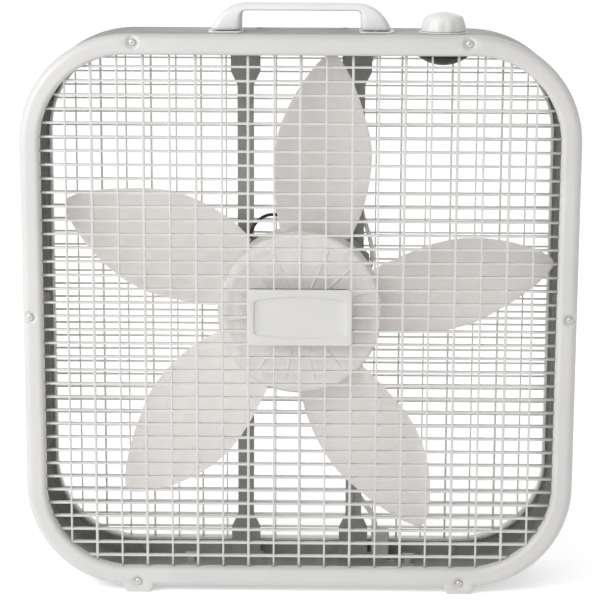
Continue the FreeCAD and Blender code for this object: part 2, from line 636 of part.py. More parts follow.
def make_front_bell():
    wall, end = 2.5, -15.0
    shell = turned(AXIS, (11, end), (MOTOR_RADIUS - 6, end),
                   (round_corner((MOTOR_RADIUS - 6, end + 6), 6, 315), (MOTOR_RADIUS, end + 6)),
                   (MOTOR_RADIUS, STACK_Y[0]), (MOTOR_RADIUS - wall, STACK_Y[0]),
                   (MOTOR_RADIUS - wall, end + 6),
                   (round_corner((MOTOR_RADIUS - 6, end + 6), 6 - wall, 315), (MOTOR_RADIUS - 6, end + wall)),
                   (11, end + wall), (11, -5.0), (7.0, -5.0), (7.0, end), (5.2, end), (5.2, end - 1.5),
                   (11, end - 1.5))
    cuts = bell_cuts(end - 1, end + wall + 1, 30) + [rod_y(2.0, x, z, end - 2, 0) for x, z in BOLT_PLACES]
    return shell.cut(Part.makeCompound(cuts))


def shell_core():
    """The room inside the bells, so that a side hole cuts one wall only."""
    return rod_y(MOTOR_RADIUS - 6, 0, CENTRE_Z, -40, 60)


def make_rear_bell():
    wall, end = 2.5, 36.0
    shell = turned(AXIS, (11, end), (MOTOR_RADIUS - 6, end),
                   (round_corner((MOTOR_RADIUS - 6, end - 6), 6, 45), (MOTOR_RADIUS, end - 6)),
                   (MOTOR_RADIUS, STACK_Y[1]), (MOTOR_RADIUS - wall, STACK_Y[1]),
                   (MOTOR_RADIUS - wall, end - 6),
                   (round_corner((MOTOR_RADIUS - 6, end - 6), 6 - wall, 45), (MOTOR_RADIUS - 6, end - wall)),
                   (11, end - wall), (11, 24.0), (7.0, 24.0), (7.0, 34.0), (5.0, 34.0), (5.0, end + 1.0),
                   (11, end + 1.0))
    lugs = []
    for x, z in LUG_PLACES:
        web = box(-5.5, 5.5, PLATE_FRONT - 4, PLATE_FRONT, MOTOR_RADIUS - 1.5, 54)
        web.rotate(ORIGIN, FRONT_AXIS, -math.degrees(math.atan2(x, z - CENTRE_Z)))
        web.translate(AXIS)
        lugs += [rod_y(6.0, x, z, PLATE_FRONT - 4, PLATE_FRONT), web]
    cuts = bell_cuts(end - wall - 1, end + 2, 0) + [rod_y(2.0, x, z, 10, end + 2) for x, z in BOLT_PLACES]
    cuts += [rod_y(2.2, x, z, 10, end) for x, z in LUG_PLACES]
    x, z = at_polar(60.0, 72.0)
    cuts.append(rod(MOTOR_LEAD_DIAMETER / 2 + 0.2, (0, 20.0, CENTRE_Z), (x, 20.0, z)).cut(shell_core()))
    x, z = at_polar(60.0, 308.0)
    cuts.append(rod(CAPACITOR_LEAD_DIAMETER / 2 + 0.2, (0, 19.0, CENTRE_Z), (x, 19.0, z)).cut(shell_core()))
    return shell.fuse(lugs).cut(Part.makeCompound(cuts))


def make_stator_core():
    core = tube_y(MOTOR_RADIUS, 24.5, 0, CENTRE_Z, *STACK_Y)
    cuts = [rod_y(1.9, x, z, STACK_Y[0] - 1, STACK_Y[1] + 1) for x, z in BOLT_PLACES]
    for i in range(24):
        slot = box(-1.2, 1.2, STACK_Y[0] - 1, STACK_Y[1] + 1, 26.5, 34.5)
        slot.rotate(ORIGIN, FRONT_AXIS, 15 * i + 7.5)
        slot.translate(AXIS)
        cuts.append(slot)
    return core.cut(Part.makeCompound(cuts))


def coil_end(y0, y1):
    middle, bulge = (y0 + y1) / 2, abs(y1 - y0) / 2
    inner, outer = 28.0, 34.0
    return turned(AXIS, (inner, y0), (outer, y0), ((outer + 1.6, middle), (outer, y1)), (inner, y1),
                  ((inner - bulge * 0.4, middle), (inner, y0)))


def make_stator_coils():
    return group([coil_end(-10.0, STACK_Y[0] - 0.2), coil_end(STACK_Y[1] + 0.2, 24.0)])


def make_bearings():
    """Sintered sleeve bearings, with a running gap on the shaft."""
    bore = SHAFT_RADIUS + RUNNING_GAP
    return [tube_y(7.0, bore, 0, CENTRE_Z, -15.0, -7.0), tube_y(7.0, bore, 0, CENTRE_Z, 26.0, 34.0)]


def make_oil_wicks():
    return group([tube_y(7.0, 4.5, 0, CENTRE_Z, -7.0, -5.0), tube_y(7.0, 4.5, 0, CENTRE_Z, 24.0, 26.0)])


def make_bearing_retainers():
    return group([tube_y(10.5, 4.8, 0, CENTRE_Z, -5.0, -4.4), tube_y(10.5, 4.8, 0, CENTRE_Z, 23.4, 24.0)])


def make_through_bolts():
    bolts = []
    for x, z in BOLT_PLACES:
        bolts.append(hexagon_y(6.0, x, z, -17.4, -15.0).fuse(rod_y(1.8, x, z, -15.0, 38.5)))
    return group(bolts)


def make_through_nuts():
    return group([hexagon_y(6.5, x, z, 36.0, 38.2).cut(rod_y(1.8, x, z, 35, 40)) for x, z in BOLT_PLACES])


def make_lug_screws():
    return group([hexagon_y(6.5, x, z, PLATE_FRONT - 6.6, PLATE_FRONT - 4).fuse(
        rod_y(2.0, x, z, PLATE_FRONT - 4, PLATE_BACK + 5)) for x, z in LUG_PLACES])


def make_lug_nuts():
    return group([hexagon_y(7.0, x, z, PLATE_BACK, PLATE_BACK + 3.0).cut(
        rod_y(2.0, x, z, PLATE_BACK - 1, PLATE_BACK + 6)) for x, z in LUG_PLACES])


def make_thermal_fuse():
    x, z = at_polar(38.5, 45)
    return rod_y(1.8, x, z, -11.0, -1.6)


def make_capacitor():
    body = box(*CAP_X, *CAP_Y, *CAP_Z)
    return body.makeFillet(1.5, [e for e in body.Edges if e.CenterOfMass.y > CAP_Y[0] + 1])


def make_capacitor_strap():
    """Thin steel strap over the capacitor, hooked on both edges of the motor plate."""
    t, half = 0.6, 3.5
    outer = box(-half, half, PLATE_FRONT - t, CAP_Y[1] + t, CAP_Z[0] - t, CENTRE_Z + 68 + t)
    inner = box(-half - 1, half + 1, PLATE_BACK, CAP_Y[1], CAP_Z[0], CENTRE_Z + 68)
    plate_gap = box(-half - 1, half + 1, PLATE_FRONT, PLATE_BACK + 1, 0, CENTRE_Z + 68)
    below = box(-half - 1, half + 1, PLATE_FRONT - t - 1, PLATE_BACK, 0, CENTRE_Z + 60)
    return outer.cut(Part.makeCompound([inner, plate_gap, below]))


# ---------------------------------------------------------------- rotor and fan blade

def make_motor_shaft():
    shaft = rod_y(SHAFT_RADIUS, 0, CENTRE_Z, *SHAFT_Y)
    flat = box(-5, 5, SHAFT_Y[0] - 1, -19, CENTRE_Z + 3.2, CENTRE_Z + 6)
    return shaft.cut(flat)


def make_rotor_core():
    return tube_y(24.0, SHAFT_RADIUS, 0, CENTRE_Z, -0.5, 13.5)


def make_rotor_rings():
    return group([tube_y(23.6, 14.0, 0, CENTRE_Z, -3.2, -0.5), tube_y(23.6, 14.0, 0, CENTRE_Z, 13.5, 16.2)])


def make_thrust_spacers():
    """Nylon spacers on the shaft between the rotor and the bearings."""
    return group([tube_y(6.5, SHAFT_RADIUS, 0, CENTRE_Z, y0, y1) for y0, y1 in ((-4.2, -0.5), (13.5, 23.2))])


def blade_section(radius, left, right, pitch):
    """Thin cambered section across the blade, hollow towards the front."""
    slope, half = math.tan(math.radians(pitch)), BLADE_THICKNESS / 2
    bow = BLADE_CAMBER * (left + right)
    def place(u, y):
        return Vector(u, BLADE_PLANE + y, radius)
    start, end = (-left, -left * slope), (right, right * slope)
    middle = ((right - left) / 2, (right - left) / 2 * slope + bow)
    return outline(place, (start[0], start[1] - half), ((middle[0], middle[1] - half), (end[0], end[1] - half)),
                   (end[0], end[1] + half), ((middle[0], middle[1] + half), (start[0], start[1] + half)))


def make_blade():
    sections = [blade_section(*station) for station in BLADE_STATIONS]
    petal = Part.makeLoft(sections, True, False)
    core = rod_y(HUB_RADIUS - 1.2, 0, 0, -80, 80)
    return petal.cut(core)


def make_hub():
    """Cup-shaped hub: rim, a ribbed recess in its face and a bored boss on the shaft."""
    y0, y1, wall, corner = HUB_Y[0], HUB_Y[1], 2.2, 4.0
    bend_out = round_corner((HUB_RADIUS - corner, y0 + corner), corner, 315)
    bend_in = round_corner((HUB_RADIUS - corner, y0 + corner), corner - wall, 315)
    floor = y0 + 6.0
    cup = turned(ORIGIN, (SHAFT_RADIUS, y0 - 4), (9, y0 - 4), (9, y0 + 0.5), (24, y0 + 0.5), (26, floor),
                 (66, floor), (69, y0), (HUB_RADIUS - corner, y0), (bend_out, (HUB_RADIUS, y0 + corner)),
                 (HUB_RADIUS, y1), (HUB_RADIUS - wall, y1), (HUB_RADIUS - wall, y0 + corner),
                 (bend_in, (HUB_RADIUS - corner, y0 + wall)), (71, y0 + wall), (68, floor + wall),
                 (24, floor + wall), (10, floor + wall), (10, y0 + 13.0), (SHAFT_RADIUS, y0 + 13.0))
    ribs = []
    for i in range(3 * BLADE_COUNT):
        rib = box(-1.1, 1.1, y0 + 1.0, floor + 0.5, 24.0, 68.0)
        rib.rotate(ORIGIN, FRONT_AXIS, 24.0 * i)
        ribs.append(rib)
    return cup.fuse(ribs)


def make_fan_blade():
    """Five petals and the hub, moulded in one."""
    pieces = [make_hub()]
    for i in range(BLADE_COUNT):
        petal = make_blade()
        petal.rotate(ORIGIN, FRONT_AXIS, -(BLADE_ANGLE + 360.0 / BLADE_COUNT * i))
        pieces.append(petal)
    fan = pieces[0].fuse(pieces[1:])
    fan.translate(AXIS)
    return fan


def make_hub_clamp():
    """Spring ring round the hub's boss that grips the shaft."""
    return tube_y(11.2, 10.0, 0, CENTRE_Z, HUB_Y[0] + 8.6, HUB_Y[0] + 12.6)


# ---------------------------------------------------------------- switch and knob

def cap_middle(radius, pole_z, rise):
    """Middle of the arc of a ball-shaped cap, from its rim to its pole. rise goes from pole to rim."""
    ball = (radius ** 2 + rise ** 2) / (2 * abs(rise))
    half_turn = math.asin(radius / ball) / 2
    return ball * math.sin(half_turn), pole_z + math.copysign(ball - ball * math.cos(half_turn), rise)


def facet_wire(inner_radius, z):
    """Regular polygon round the knob's axis, given the radius of its inscribed circle."""
    radius = inner_radius / math.cos(math.pi / KNOB_FACETS)
    turns = [2 * math.pi * (i + 0.5) / KNOB_FACETS for i in range(KNOB_FACETS + 1)]
    return Part.makePolygon([Vector(KNOB_X + radius * math.cos(a), radius * math.sin(a), z) for a in turns])


def make_escutcheon():
    return turned_up(Vector(KNOB_X, 0, 0), (5.2, BAND_TOP), (23.5, BAND_TOP), (23.2, ESCUTCHEON_TOP - 0.6),
                     (22.6, ESCUTCHEON_TOP), (5.2, ESCUTCHEON_TOP))


def make_knob():
    """Domed control knob with shallow flats round its side and a blind bore for the spindle."""
    base, top = KNOB_BASE, KNOB_TOP
    centre = Vector(KNOB_X, 0, 0)
    shoulder, rise = KNOB_RADIUS - 4.4, 4.8
    dome = turned_up(centre, (0, base), (KNOB_RADIUS, base), (shoulder, top - rise),
                     (cap_middle(shoulder, top, -rise), (0, top)))
    facets = [facet_wire(KNOB_RADIUS - 0.5, base - 1), facet_wire(KNOB_RADIUS - 5.2, top + 1)]
    prism = Part.makeLoft(facets, True, True)
    bore = rod(SPINDLE_RADIUS, (KNOB_X, 0, base - 1), (KNOB_X, 0, base + 13))
    pocket = tube_z(17.0, 6.5, KNOB_X, 0, base - 1, base + 6)
    return dome.common(prism).cut(bore).cut(pocket)


def make_spindle():
    return rod(SPINDLE_RADIUS, (KNOB_X, 0, CEILING - 12.0), (KNOB_X, 0, KNOB_BASE + 12.6))


def make_knob_spring():
    """Split spring sleeve that grips the knob's stem on the spindle."""
    sleeve = tube_z(7.3, 6.5, KNOB_X, 0, KNOB_BASE + 0.6, KNOB_BASE + 5.0)
    return sleeve.cut(box(KNOB_X + 5, KNOB_X + 9, -1.2, 1.2, KNOB_BASE, KNOB_BASE + 6))


def cup_solid(radius, top, low):
    """Round plug with a bowed underside."""
    rise = 8.5
    return turned_up(Vector(KNOB_X, 0, 0), (0, top), (radius, top), (radius, low + rise),
                     (cap_middle(radius, low, rise), (0, low)))


def make_switch_cup():
    """Black cover over the switch under the top of the housing."""
    wall = 1.8
    inside = cup_solid(CUP_RADIUS - wall, CEILING + 1, CUP_BOTTOM + wall)
    cup = cup_solid(CUP_RADIUS, CEILING, CUP_BOTTOM).cut(inside)
    ports = [rod(LEAD_DIAMETER / 2 + 0.5, (KNOB_X - 30, PORT_Y, z), (KNOB_X - 15, PORT_Y, z)) for z in PORT_Z]
    return cup.cut(Part.makeCompound(ports))


def make_switch_body():
    """Rotary switch with the bore that its spindle turns in."""
    z1, z0 = CEILING, CEILING - 14.0
    body = box(KNOB_X - 13, KNOB_X + 13, -11, 11, z0, z1).fuse(
        rod(5.0, (KNOB_X, 0, z1 - 1), (KNOB_X, 0, ESCUTCHEON_TOP - 0.2)))
    bore = rod(SPINDLE_RADIUS + RUNNING_GAP, (KNOB_X, 0, CEILING - 12.0 - 0.2), (KNOB_X, 0, KNOB_TOP))
    return body.cut(bore)


def make_switch_terminals():
    z1 = CEILING - 14.0
    tabs = [box(KNOB_X + dx - 0.4, KNOB_X + dx + 0.4, dy - 2.4, dy + 2.4, z1 - 7, z1)
            for dx, dy in ((-9, -5), (-9, 5), (9, -5), (9, 5), (0, 0))]
    return group(tabs)


# ---------------------------------------------------------------- cord inlet and internal leads

def make_cord_clamp():
    """White block that grips the supply cord where it comes in through the rear grille."""
    block = box(*CLAMP_X, *CLAMP_Y, *CLAMP_Z)
    block = block.makeFillet(1.5, [e for e in block.Edges if e.CenterOfMass.z > CLAMP_Z[0] + 2])
    x, y, z = LEAD_START
    cuts = [rod_y(CORD_BORE, INLET_X, INLET_Z, CLAMP_Y[1] - CORD_BORE_LENGTH, CLAMP_Y[1] + 1),
            rod(LEAD_DIAMETER / 2 + 0.1, (x, y, z), (x, y, z + 10)),
            box(CLAMP_X[0] - 1, CLAMP_X[1] + 1, 33.0, 33.8, CLAMP_Z[0] - 1, CLAMP_Z[0] + 6)]
    return block.cut(Part.makeCompound(cuts))


def make_clamp_base():
    """Foot plate of the clamp, screwed to the steel floor."""
    plate = box(CLAMP_X[0], CLAMP_SCREW[0] + 5, 20.0, CLAMP_Y[1], FLOOR_TOP, FLOOR_TOP + 1.5)
    riser = box(*CLAMP_X, 28.0, CLAMP_Y[1] - 1, FLOOR_TOP + 1, CLAMP_Z[0])
    return fused([plate, riser]).cut(rod(1.7, (*CLAMP_SCREW, 0), (*CLAMP_SCREW, 30)))


def make_clamp_screw():
    return upright_screw(*CLAMP_SCREW, FLOOR_TOP + 1.5, 5.5, -1)


def supply_points():
    """From the clamp, behind the right strut's flare, up its channel and over to the switch."""
    x, y, z = LEAD_START
    return [(x, y, z), (x, y, z + 10), (71.5, CHANNEL_Y, z + 23), (62.0, CHANNEL_Y, z + 35),
            (SUPPLY_LANE + 2.4, CHANNEL_Y, z + 50), (SUPPLY_LANE, CHANNEL_Y, z + 68),
            (SUPPLY_LANE, CHANNEL_Y, 490.0), (SUPPLY_LANE + 2, CHANNEL_Y, 510.0), (61.0, CHANNEL_Y, 526.0),
            (76.0, 35.2, 533.0), (91.0, 21.0, PORT_Z[0]), (106.0, PORT_Y, PORT_Z[0]),
            (118.0, PORT_Y, PORT_Z[0])]


def motor_lead_points():
    """Out of the side of the motor, round the outside of the right strut and up to the switch."""
    def above(x, y, height):
        return (x, y, CENTRE_Z + height)
    return [above(40.9, 20.0, 13.3), above(51.4, 20.0, 16.7), above(63.5, 20.0, 25.0), above(71.0, 21.5, 40.0),
            above(70.5, 25.5, 56.0), above(66.5, 33.0, 71.0), above(61.5, 37.2, 85.0),
            above(MOTOR_LANE, CHANNEL_Y + 0.2, 101.0), above(MOTOR_LANE, CHANNEL_Y, 119.0),
            (MOTOR_LANE, CHANNEL_Y, 482.0), (MOTOR_LANE + 2.5, CHANNEL_Y, 502.0), (68.5, 36.2, 518.0),
            (81.5, 29.0, 525.0), (93.5, 17.0, PORT_Z[1]), (105.0, PORT_Y, PORT_Z[1]),
            (118.0, PORT_Y, PORT_Z[1])]


def capacitor_lead_points():
    """From the capacitor up over the motor plate and back down into the side of the motor."""
    def above(x, y, height):
        return (x, y, CENTRE_Z + height)
    end_x, end_z = at_polar(43.0, 308.0)
    out_x, out_z = at_polar(52.0, 308.0)
    return [above(-11.0, 35.5, 64.5), above(-11.0, 35.5, 76.0), above(-20.5, 34.5, 86.0),
            above(-33.5, 31.0, 87.0), above(-45.0, 26.0, 80.0), above(-51.0, 22.0, 67.0),
            above(-51.0, 19.5, 51.5), (out_x - 3, 19.0, out_z + 4), (end_x, 19.0, end_z)]


def make_lead_ties():
    """Ties that hold the leads in the right strut."""
    ties = []
    for z in (CENTRE_Z - 150.0, CENTRE_Z - 80.0, CENTRE_Z + 120.0, CENTRE_Z + 160.0):
        x, half, t = STRUT_X, STRUT_WIDTH / 2, 0.7
        outer = box(x - half - t, x + half + t, STRUT_FRONT - 0.7 - t, STRUT_FRONT + STRUT_DEPTH + t,
                    z - 2, z + 2)
        inner = box(x - half, x + half, STRUT_FRONT - 0.7, STRUT_FRONT + STRUT_DEPTH, z - 3, z + 3)
        ties.append(outer.cut(inner))
    return group(ties)


# ---------------------------------------------------------------- write the nodes

def build_nodes():
    front_bearing, rear_bearing = make_bearings()
    return {
        "housing_band": make_housing_band(),
        "front_grille": make_front_grille(),
        "rear_grille": make_rear_grille(),
        "front_grille_screws": make_front_screws(),
        "rear_grille_screws": make_rear_screws(),
        "speed_clips": make_speed_clips(),
        "foot_left": make_foot(-1),
        "foot_right": make_foot(1),
        "handle": make_handle(),
        "handle_pads": make_handle_pads(),
        "handle_screws": make_handle_screws(),
        "left_strut": make_strut(-1),
        "right_strut": make_strut(1),
        "strut_screws": make_strut_screws(),
        "motor_mount_plate": make_motor_mount(),
        "mount_spacers": make_mount_spacers(),
        "mount_plate_screws": make_mount_screws(),
        "motor_front_bell": make_front_bell(),
        "motor_rear_bell": make_rear_bell(),
        "stator_core": make_stator_core(),
        "stator_coils": make_stator_coils(),
        "front_bearing": front_bearing,
        "rear_bearing": rear_bearing,
        "oil_wicks": make_oil_wicks(),
        "bearing_retainers": make_bearing_retainers(),
        "motor_through_bolts": make_through_bolts(),
        "motor_through_nuts": make_through_nuts(),
        "motor_lug_screws": make_lug_screws(),
        "motor_lug_nuts": make_lug_nuts(),
        "thermal_fuse": make_thermal_fuse(),
        "capacitor": make_capacitor(),
        "capacitor_strap": make_capacitor_strap(),
        "motor_shaft": make_motor_shaft(),
        "rotor_core": make_rotor_core(),
        "rotor_end_rings": make_rotor_rings(),
        "thrust_spacers": make_thrust_spacers(),
        "fan_blade": make_fan_blade(),
        "hub_clamp_ring": make_hub_clamp(),
        "switch_escutcheon": make_escutcheon(),
        "knob": make_knob(),
        "switch_spindle": make_spindle(),
        "knob_spring": make_knob_spring(),
        "switch_cup": make_switch_cup(),
        "switch_body": make_switch_body(),
        "switch_terminals": make_switch_terminals(),
        "cord_clamp": make_cord_clamp(),
        "cord_clamp_base": make_clamp_base(),
        "cord_clamp_screw": make_clamp_screw(),
        "supply_lead": lead(supply_points(), LEAD_DIAMETER),
        "motor_lead": lead(motor_lead_points(), MOTOR_LEAD_DIAMETER),
        "capacitor_lead": lead(capacitor_lead_points(), CAPACITOR_LEAD_DIAMETER),
        "lead_ties": make_lead_ties(),
    }


def main():
    os.makedirs("parts", exist_ok=True)
    for name, shape in build_nodes().items():
        shape.exportStep("parts/%s.step" % name)


main()
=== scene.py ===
import math

import bmesh
import bpy
from mathutils import Matrix, Vector


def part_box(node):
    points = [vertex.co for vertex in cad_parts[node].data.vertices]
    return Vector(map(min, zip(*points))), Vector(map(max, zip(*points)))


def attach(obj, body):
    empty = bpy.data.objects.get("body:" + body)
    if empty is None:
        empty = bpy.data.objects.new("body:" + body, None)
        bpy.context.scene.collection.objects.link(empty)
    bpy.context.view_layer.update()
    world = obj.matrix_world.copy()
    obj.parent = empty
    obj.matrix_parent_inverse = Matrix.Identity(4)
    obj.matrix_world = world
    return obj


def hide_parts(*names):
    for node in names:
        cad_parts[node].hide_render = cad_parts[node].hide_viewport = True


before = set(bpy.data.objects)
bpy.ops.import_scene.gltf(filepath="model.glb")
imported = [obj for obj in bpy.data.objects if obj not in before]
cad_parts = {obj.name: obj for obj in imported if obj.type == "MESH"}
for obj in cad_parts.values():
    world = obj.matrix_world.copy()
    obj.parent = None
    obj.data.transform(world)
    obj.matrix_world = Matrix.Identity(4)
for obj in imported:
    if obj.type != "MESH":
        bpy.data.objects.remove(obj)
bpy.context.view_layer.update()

# A twenty-inch box fan. Metres, +Z up, -Y front, origin on the ground under the middle.
# Lengths below are written in millimetres and scaled by MM where a mesh is made.
MM = 0.001


def node_box(node):
    """Lowest and highest corner of a CAD node, in millimetres."""
    low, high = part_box(node)
    return low / MM, high / MM


GRILLE_LOW, GRILLE_HIGH = node_box("front_grille")
REAR_LOW, REAR_HIGH = node_box("rear_grille")
BAND_LOW, BAND_HIGH = node_box("housing_band")
HANDLE_LOW, HANDLE_HIGH = node_box("handle")
KNOB_LOW, KNOB_HIGH = node_box("knob")

HALF_W = GRILLE_HIGH.x
CENTRE_Z = (REAR_HIGH.z + REAR_LOW.z) / 2
HALF_H = GRILLE_HIGH.z - CENTRE_Z
FRONT = GRILLE_LOW.y
FLANGE = BAND_LOW.y
CORNER = 102.0
BEZEL_BAND = 19.4
BEZEL_WALL = 2.2
REAR_INSET = GRILLE_HIGH.z - REAR_HIGH.z
OPEN_HALF_W = HALF_W - BEZEL_BAND
OPEN_HALF_H = HALF_H - BEZEL_BAND
OPEN_CORNER = CORNER - BEZEL_BAND
COLUMN_PITCH, COLUMN_COUNT = 24.75, 19
ROW_PITCH, ROW_COUNT = 13.333, 37
FRONT_BARS = (2.4, 1.7, 2.0)     # widths: every second upright, the uprights between, level bars
REAR_BARS = (1.8, 1.2, 1.2)
BAR_FRONT, BAR_BACK = 50.0, 45.0
REAR_LIP = 42.5                  # how far back the rear bezel's inner wall starts
BAR_ROUNDING = 0.24              # share of a bar that each softened edge takes
SCREW_X = 157.5
SCREW_INSET = 7.5
LOW_SCREW_INSET = 5.4
SCREW_SEAT = 2.2
TOP_SCREWS = [(side * SCREW_X, CENTRE_Z + HALF_H - SCREW_INSET) for side in (-1, 1)]
SIDE_SCREWS = [(side * (HALF_W - SCREW_INSET), CENTRE_Z) for side in (-1, 1)]
LOW_SCREWS = [(side * SCREW_X, CENTRE_Z - HALF_H + LOW_SCREW_INSET) for side in (-1, 1)]
SCREW_PLACES = TOP_SCREWS + SIDE_SCREWS + LOW_SCREWS
HUB_RADIUS = 80.0
BLADE_COUNT = 5
BLADE_ANGLE = 5.9
BLADE_PLANE = -12.0


# ---------------------------------------------------------------- camera, light and floor

def make_camera():
    """Long lens, a little above the fan and looking slightly down on it."""
    data = bpy.data.cameras.new("camera")
    data.lens = 126.97
    data.clip_end = 200.0
    camera = bpy.data.objects.new("camera", data)
    pan, tilt, roll = (math.radians(a) for a in (0.57, 78.32, 0.226))
    turn = Matrix.Rotation(pan, 4, "Z") @ Matrix.Rotation(tilt, 4, "X") @ Matrix.Rotation(roll, 4, "Z")
    camera.matrix_world = Matrix.Translation((0.02, -2.036, 0.704)) @ turn
    bpy.context.scene.collection.objects.link(camera)
    bpy.context.scene.camera = camera


def make_world():
    world = bpy.data.worlds.new("studio")
    world.use_nodes = True
    background = world.node_tree.nodes["Background"]
    background.inputs["Color"].default_value = (1.0, 1.0, 1.0, 1.0)
    background.inputs["Strength"].default_value = 0.68
    bpy.context.scene.world = world
    bpy.context.scene.view_settings.view_transform = "Standard"
    bpy.context.scene.view_settings.look = "None"


def aim(obj, place, target):
    obj.location = place
    obj.rotation_euler = (Vector(target) - Vector(place)).to_track_quat("-Z", "Y").to_euler()


def make_lights():
    """A weak sun, a softbox close by on the left, one beside the camera and one behind the fan."""
    middle = (0.0, 0.0, CENTRE_Z * MM)
    sun = bpy.data.lights.new("key_sun", "SUN")
    sun.energy = 0.75
    sun.angle = math.radians(55)
    key = bpy.data.objects.new("key_sun", sun)
    aim(key, (-1.9, -2.3, 2.9), middle)
    bpy.context.scene.collection.objects.link(key)
    for name, place, size, energy in (("left_softbox", (-1.3, -0.95, 0.95), 0.7, 15.0),
                                      ("front_softbox", (-0.5, -2.6, 1.0), 0.9, 3.0),
                                      ("back_softbox", (0.5, 2.2, 1.6), 1.6, 6.0)):
        area = bpy.data.lights.new(name, "AREA")
        area.shape = "SQUARE"
        area.size = size
        area.energy = energy
        lamp = bpy.data.objects.new(name, area)
        aim(lamp, place, middle)
        bpy.context.scene.collection.objects.link(lamp)


def make_floor():
    """Plain pale studio floor, large enough that the camera sees nothing else."""
    half = 30.0
    mesh = bpy.data.meshes.new("floor")
    corners = [(-half, -half, 0), (half, -half, 0), (half, half, 0), (-half, half, 0)]
    mesh.from_pydata(corners, [], [(0, 1, 2, 3)])
    floor = bpy.data.objects.new("floor", mesh)
    bpy.context.scene.collection.objects.link(floor)
    material = bpy.data.materials.new("pale_floor")
    material.use_nodes = True
    shader = material.node_tree.nodes["Principled BSDF"]
    shader.inputs["Base Color"].default_value = (0.86, 0.86, 0.86, 1.0)
    shader.inputs["Roughness"].default_value = 0.9
    shader.inputs["Emission Color"].default_value = (1.0, 1.0, 1.0, 1.0)
    shader.inputs["Emission Strength"].default_value = 0.38
    mesh.materials.append(material)


# ---------------------------------------------------------------- materials

class Recipe:
    """A Principled material with object-space noise for its colour, roughness and surface relief."""

    def __init__(self, name):
        self.material = bpy.data.materials.new(name)
        self.material.use_nodes = True
        self.tree = self.material.node_tree
        self.shader = self.tree.nodes["Principled BSDF"]
        self.place = self.tree.nodes.new("ShaderNodeTexCoord").outputs["Object"]

    def node(self, kind, **settings):
        made = self.tree.nodes.new(kind)
        for key, value in settings.items():
            setattr(made, key, value)
        return made

    def link(self, source, target):
        self.tree.links.new(source, target)

    def stretched(self, scale, move=(0.0, 0.0, 0.0)):
        mapping = self.node("ShaderNodeMapping")
        mapping.inputs["Scale"].default_value = scale
        mapping.inputs["Location"].default_value = move
        self.link(self.place, mapping.inputs["Vector"])
        return mapping.outputs["Vector"]

    def noise(self, scale, detail=2.0, roughness=0.5, vector=None):
        made = self.node("ShaderNodeTexNoise")
        made.inputs["Scale"].default_value = scale
        made.inputs["Detail"].default_value = detail
        made.inputs["Roughness"].default_value = roughness
        self.link(vector or self.place, made.inputs["Vector"])
        return made.outputs["Fac"]

    def ramp(self, source, stops):
        made = self.node("ShaderNodeValToRGB")
        elements = made.color_ramp.elements
        while len(elements) < len(stops):
            elements.new(0.5)
        for element, (position, colour) in zip(elements, stops):
            element.position = position
            element.color = (*colour, 1.0)
        self.link(source, made.inputs["Fac"])
        return made.outputs["Color"]

    def blend(self, kind, factor, first, second):
        made = self.node("ShaderNodeMix", data_type="RGBA", blend_type=kind)
        for value, socket in ((factor, made.inputs[0]), (first, made.inputs[6]), (second, made.inputs[7])):
            if hasattr(value, "is_output"):
                self.link(value, socket)
            else:
                socket.default_value = value
        return made.outputs[2]

    def span(self, source, low, high, start=0.3, end=0.7):
        made = self.node("ShaderNodeMapRange")
        made.inputs["From Min"].default_value = start
        made.inputs["From Max"].default_value = end
        made.inputs["To Min"].default_value = low
        made.inputs["To Max"].default_value = high
        self.link(source, made.inputs["Value"])
        return made.outputs["Result"]

    def add(self, first, second, share):
        made = self.node("ShaderNodeMath", operation="MULTIPLY_ADD")
        self.link(second, made.inputs[0])
        made.inputs[1].default_value = share
        self.link(first, made.inputs[2])
        return made.outputs["Value"]

    def colour(self, output):
        self.link(output, self.shader.inputs["Base Color"])

    def rough(self, output):
        self.link(output, self.shader.inputs["Roughness"])

    def relief(self, height, distance, strength=1.0):
        bump = self.node("ShaderNodeBump")
        bump.inputs["Strength"].default_value = strength
        bump.inputs["Distance"].default_value = distance
        self.link(height, bump.inputs["Height"])
        self.link(bump.outputs["Normal"], self.shader.inputs["Normal"])


def shade(colour, factor):
    return tuple(min(1.0, channel * factor) for channel in colour)


def moulded(name, colour, roughness=0.42, aged=(1.0, 0.985, 0.955), grain=0.00003):
    """Injection-moulded plastic: fine satin grain, faint flow clouds and slight yellowing."""
    recipe = Recipe(name)
    clouds = recipe.noise(14.0, 3.0)
    base = recipe.ramp(clouds, ((0.32, shade(colour, 0.965)), (0.68, shade(colour, 1.03))))
    tinted = tuple(c * a for c, a in zip(colour, aged))
    age = recipe.span(recipe.noise(4.5, 2.0), 0.0, 0.55, 0.42, 0.72)
    specks = recipe.ramp(recipe.noise(900.0, 1.0), ((0.28, (0.9, 0.89, 0.87)), (0.36, (1.0, 1.0, 1.0))))
    recipe.colour(recipe.blend("MULTIPLY", 0.5, recipe.blend("MIX", age, base, (*tinted, 1.0)), specks))
    recipe.rough(recipe.span(recipe.noise(60.0, 3.0), roughness - 0.07, roughness + 0.07))
    recipe.relief(recipe.add(recipe.noise(1700.0, 2.0), recipe.noise(220.0, 2.0), 0.6), grain, 0.6)
    recipe.shader.inputs["Specular IOR Level"].default_value = 0.42
    return recipe.material


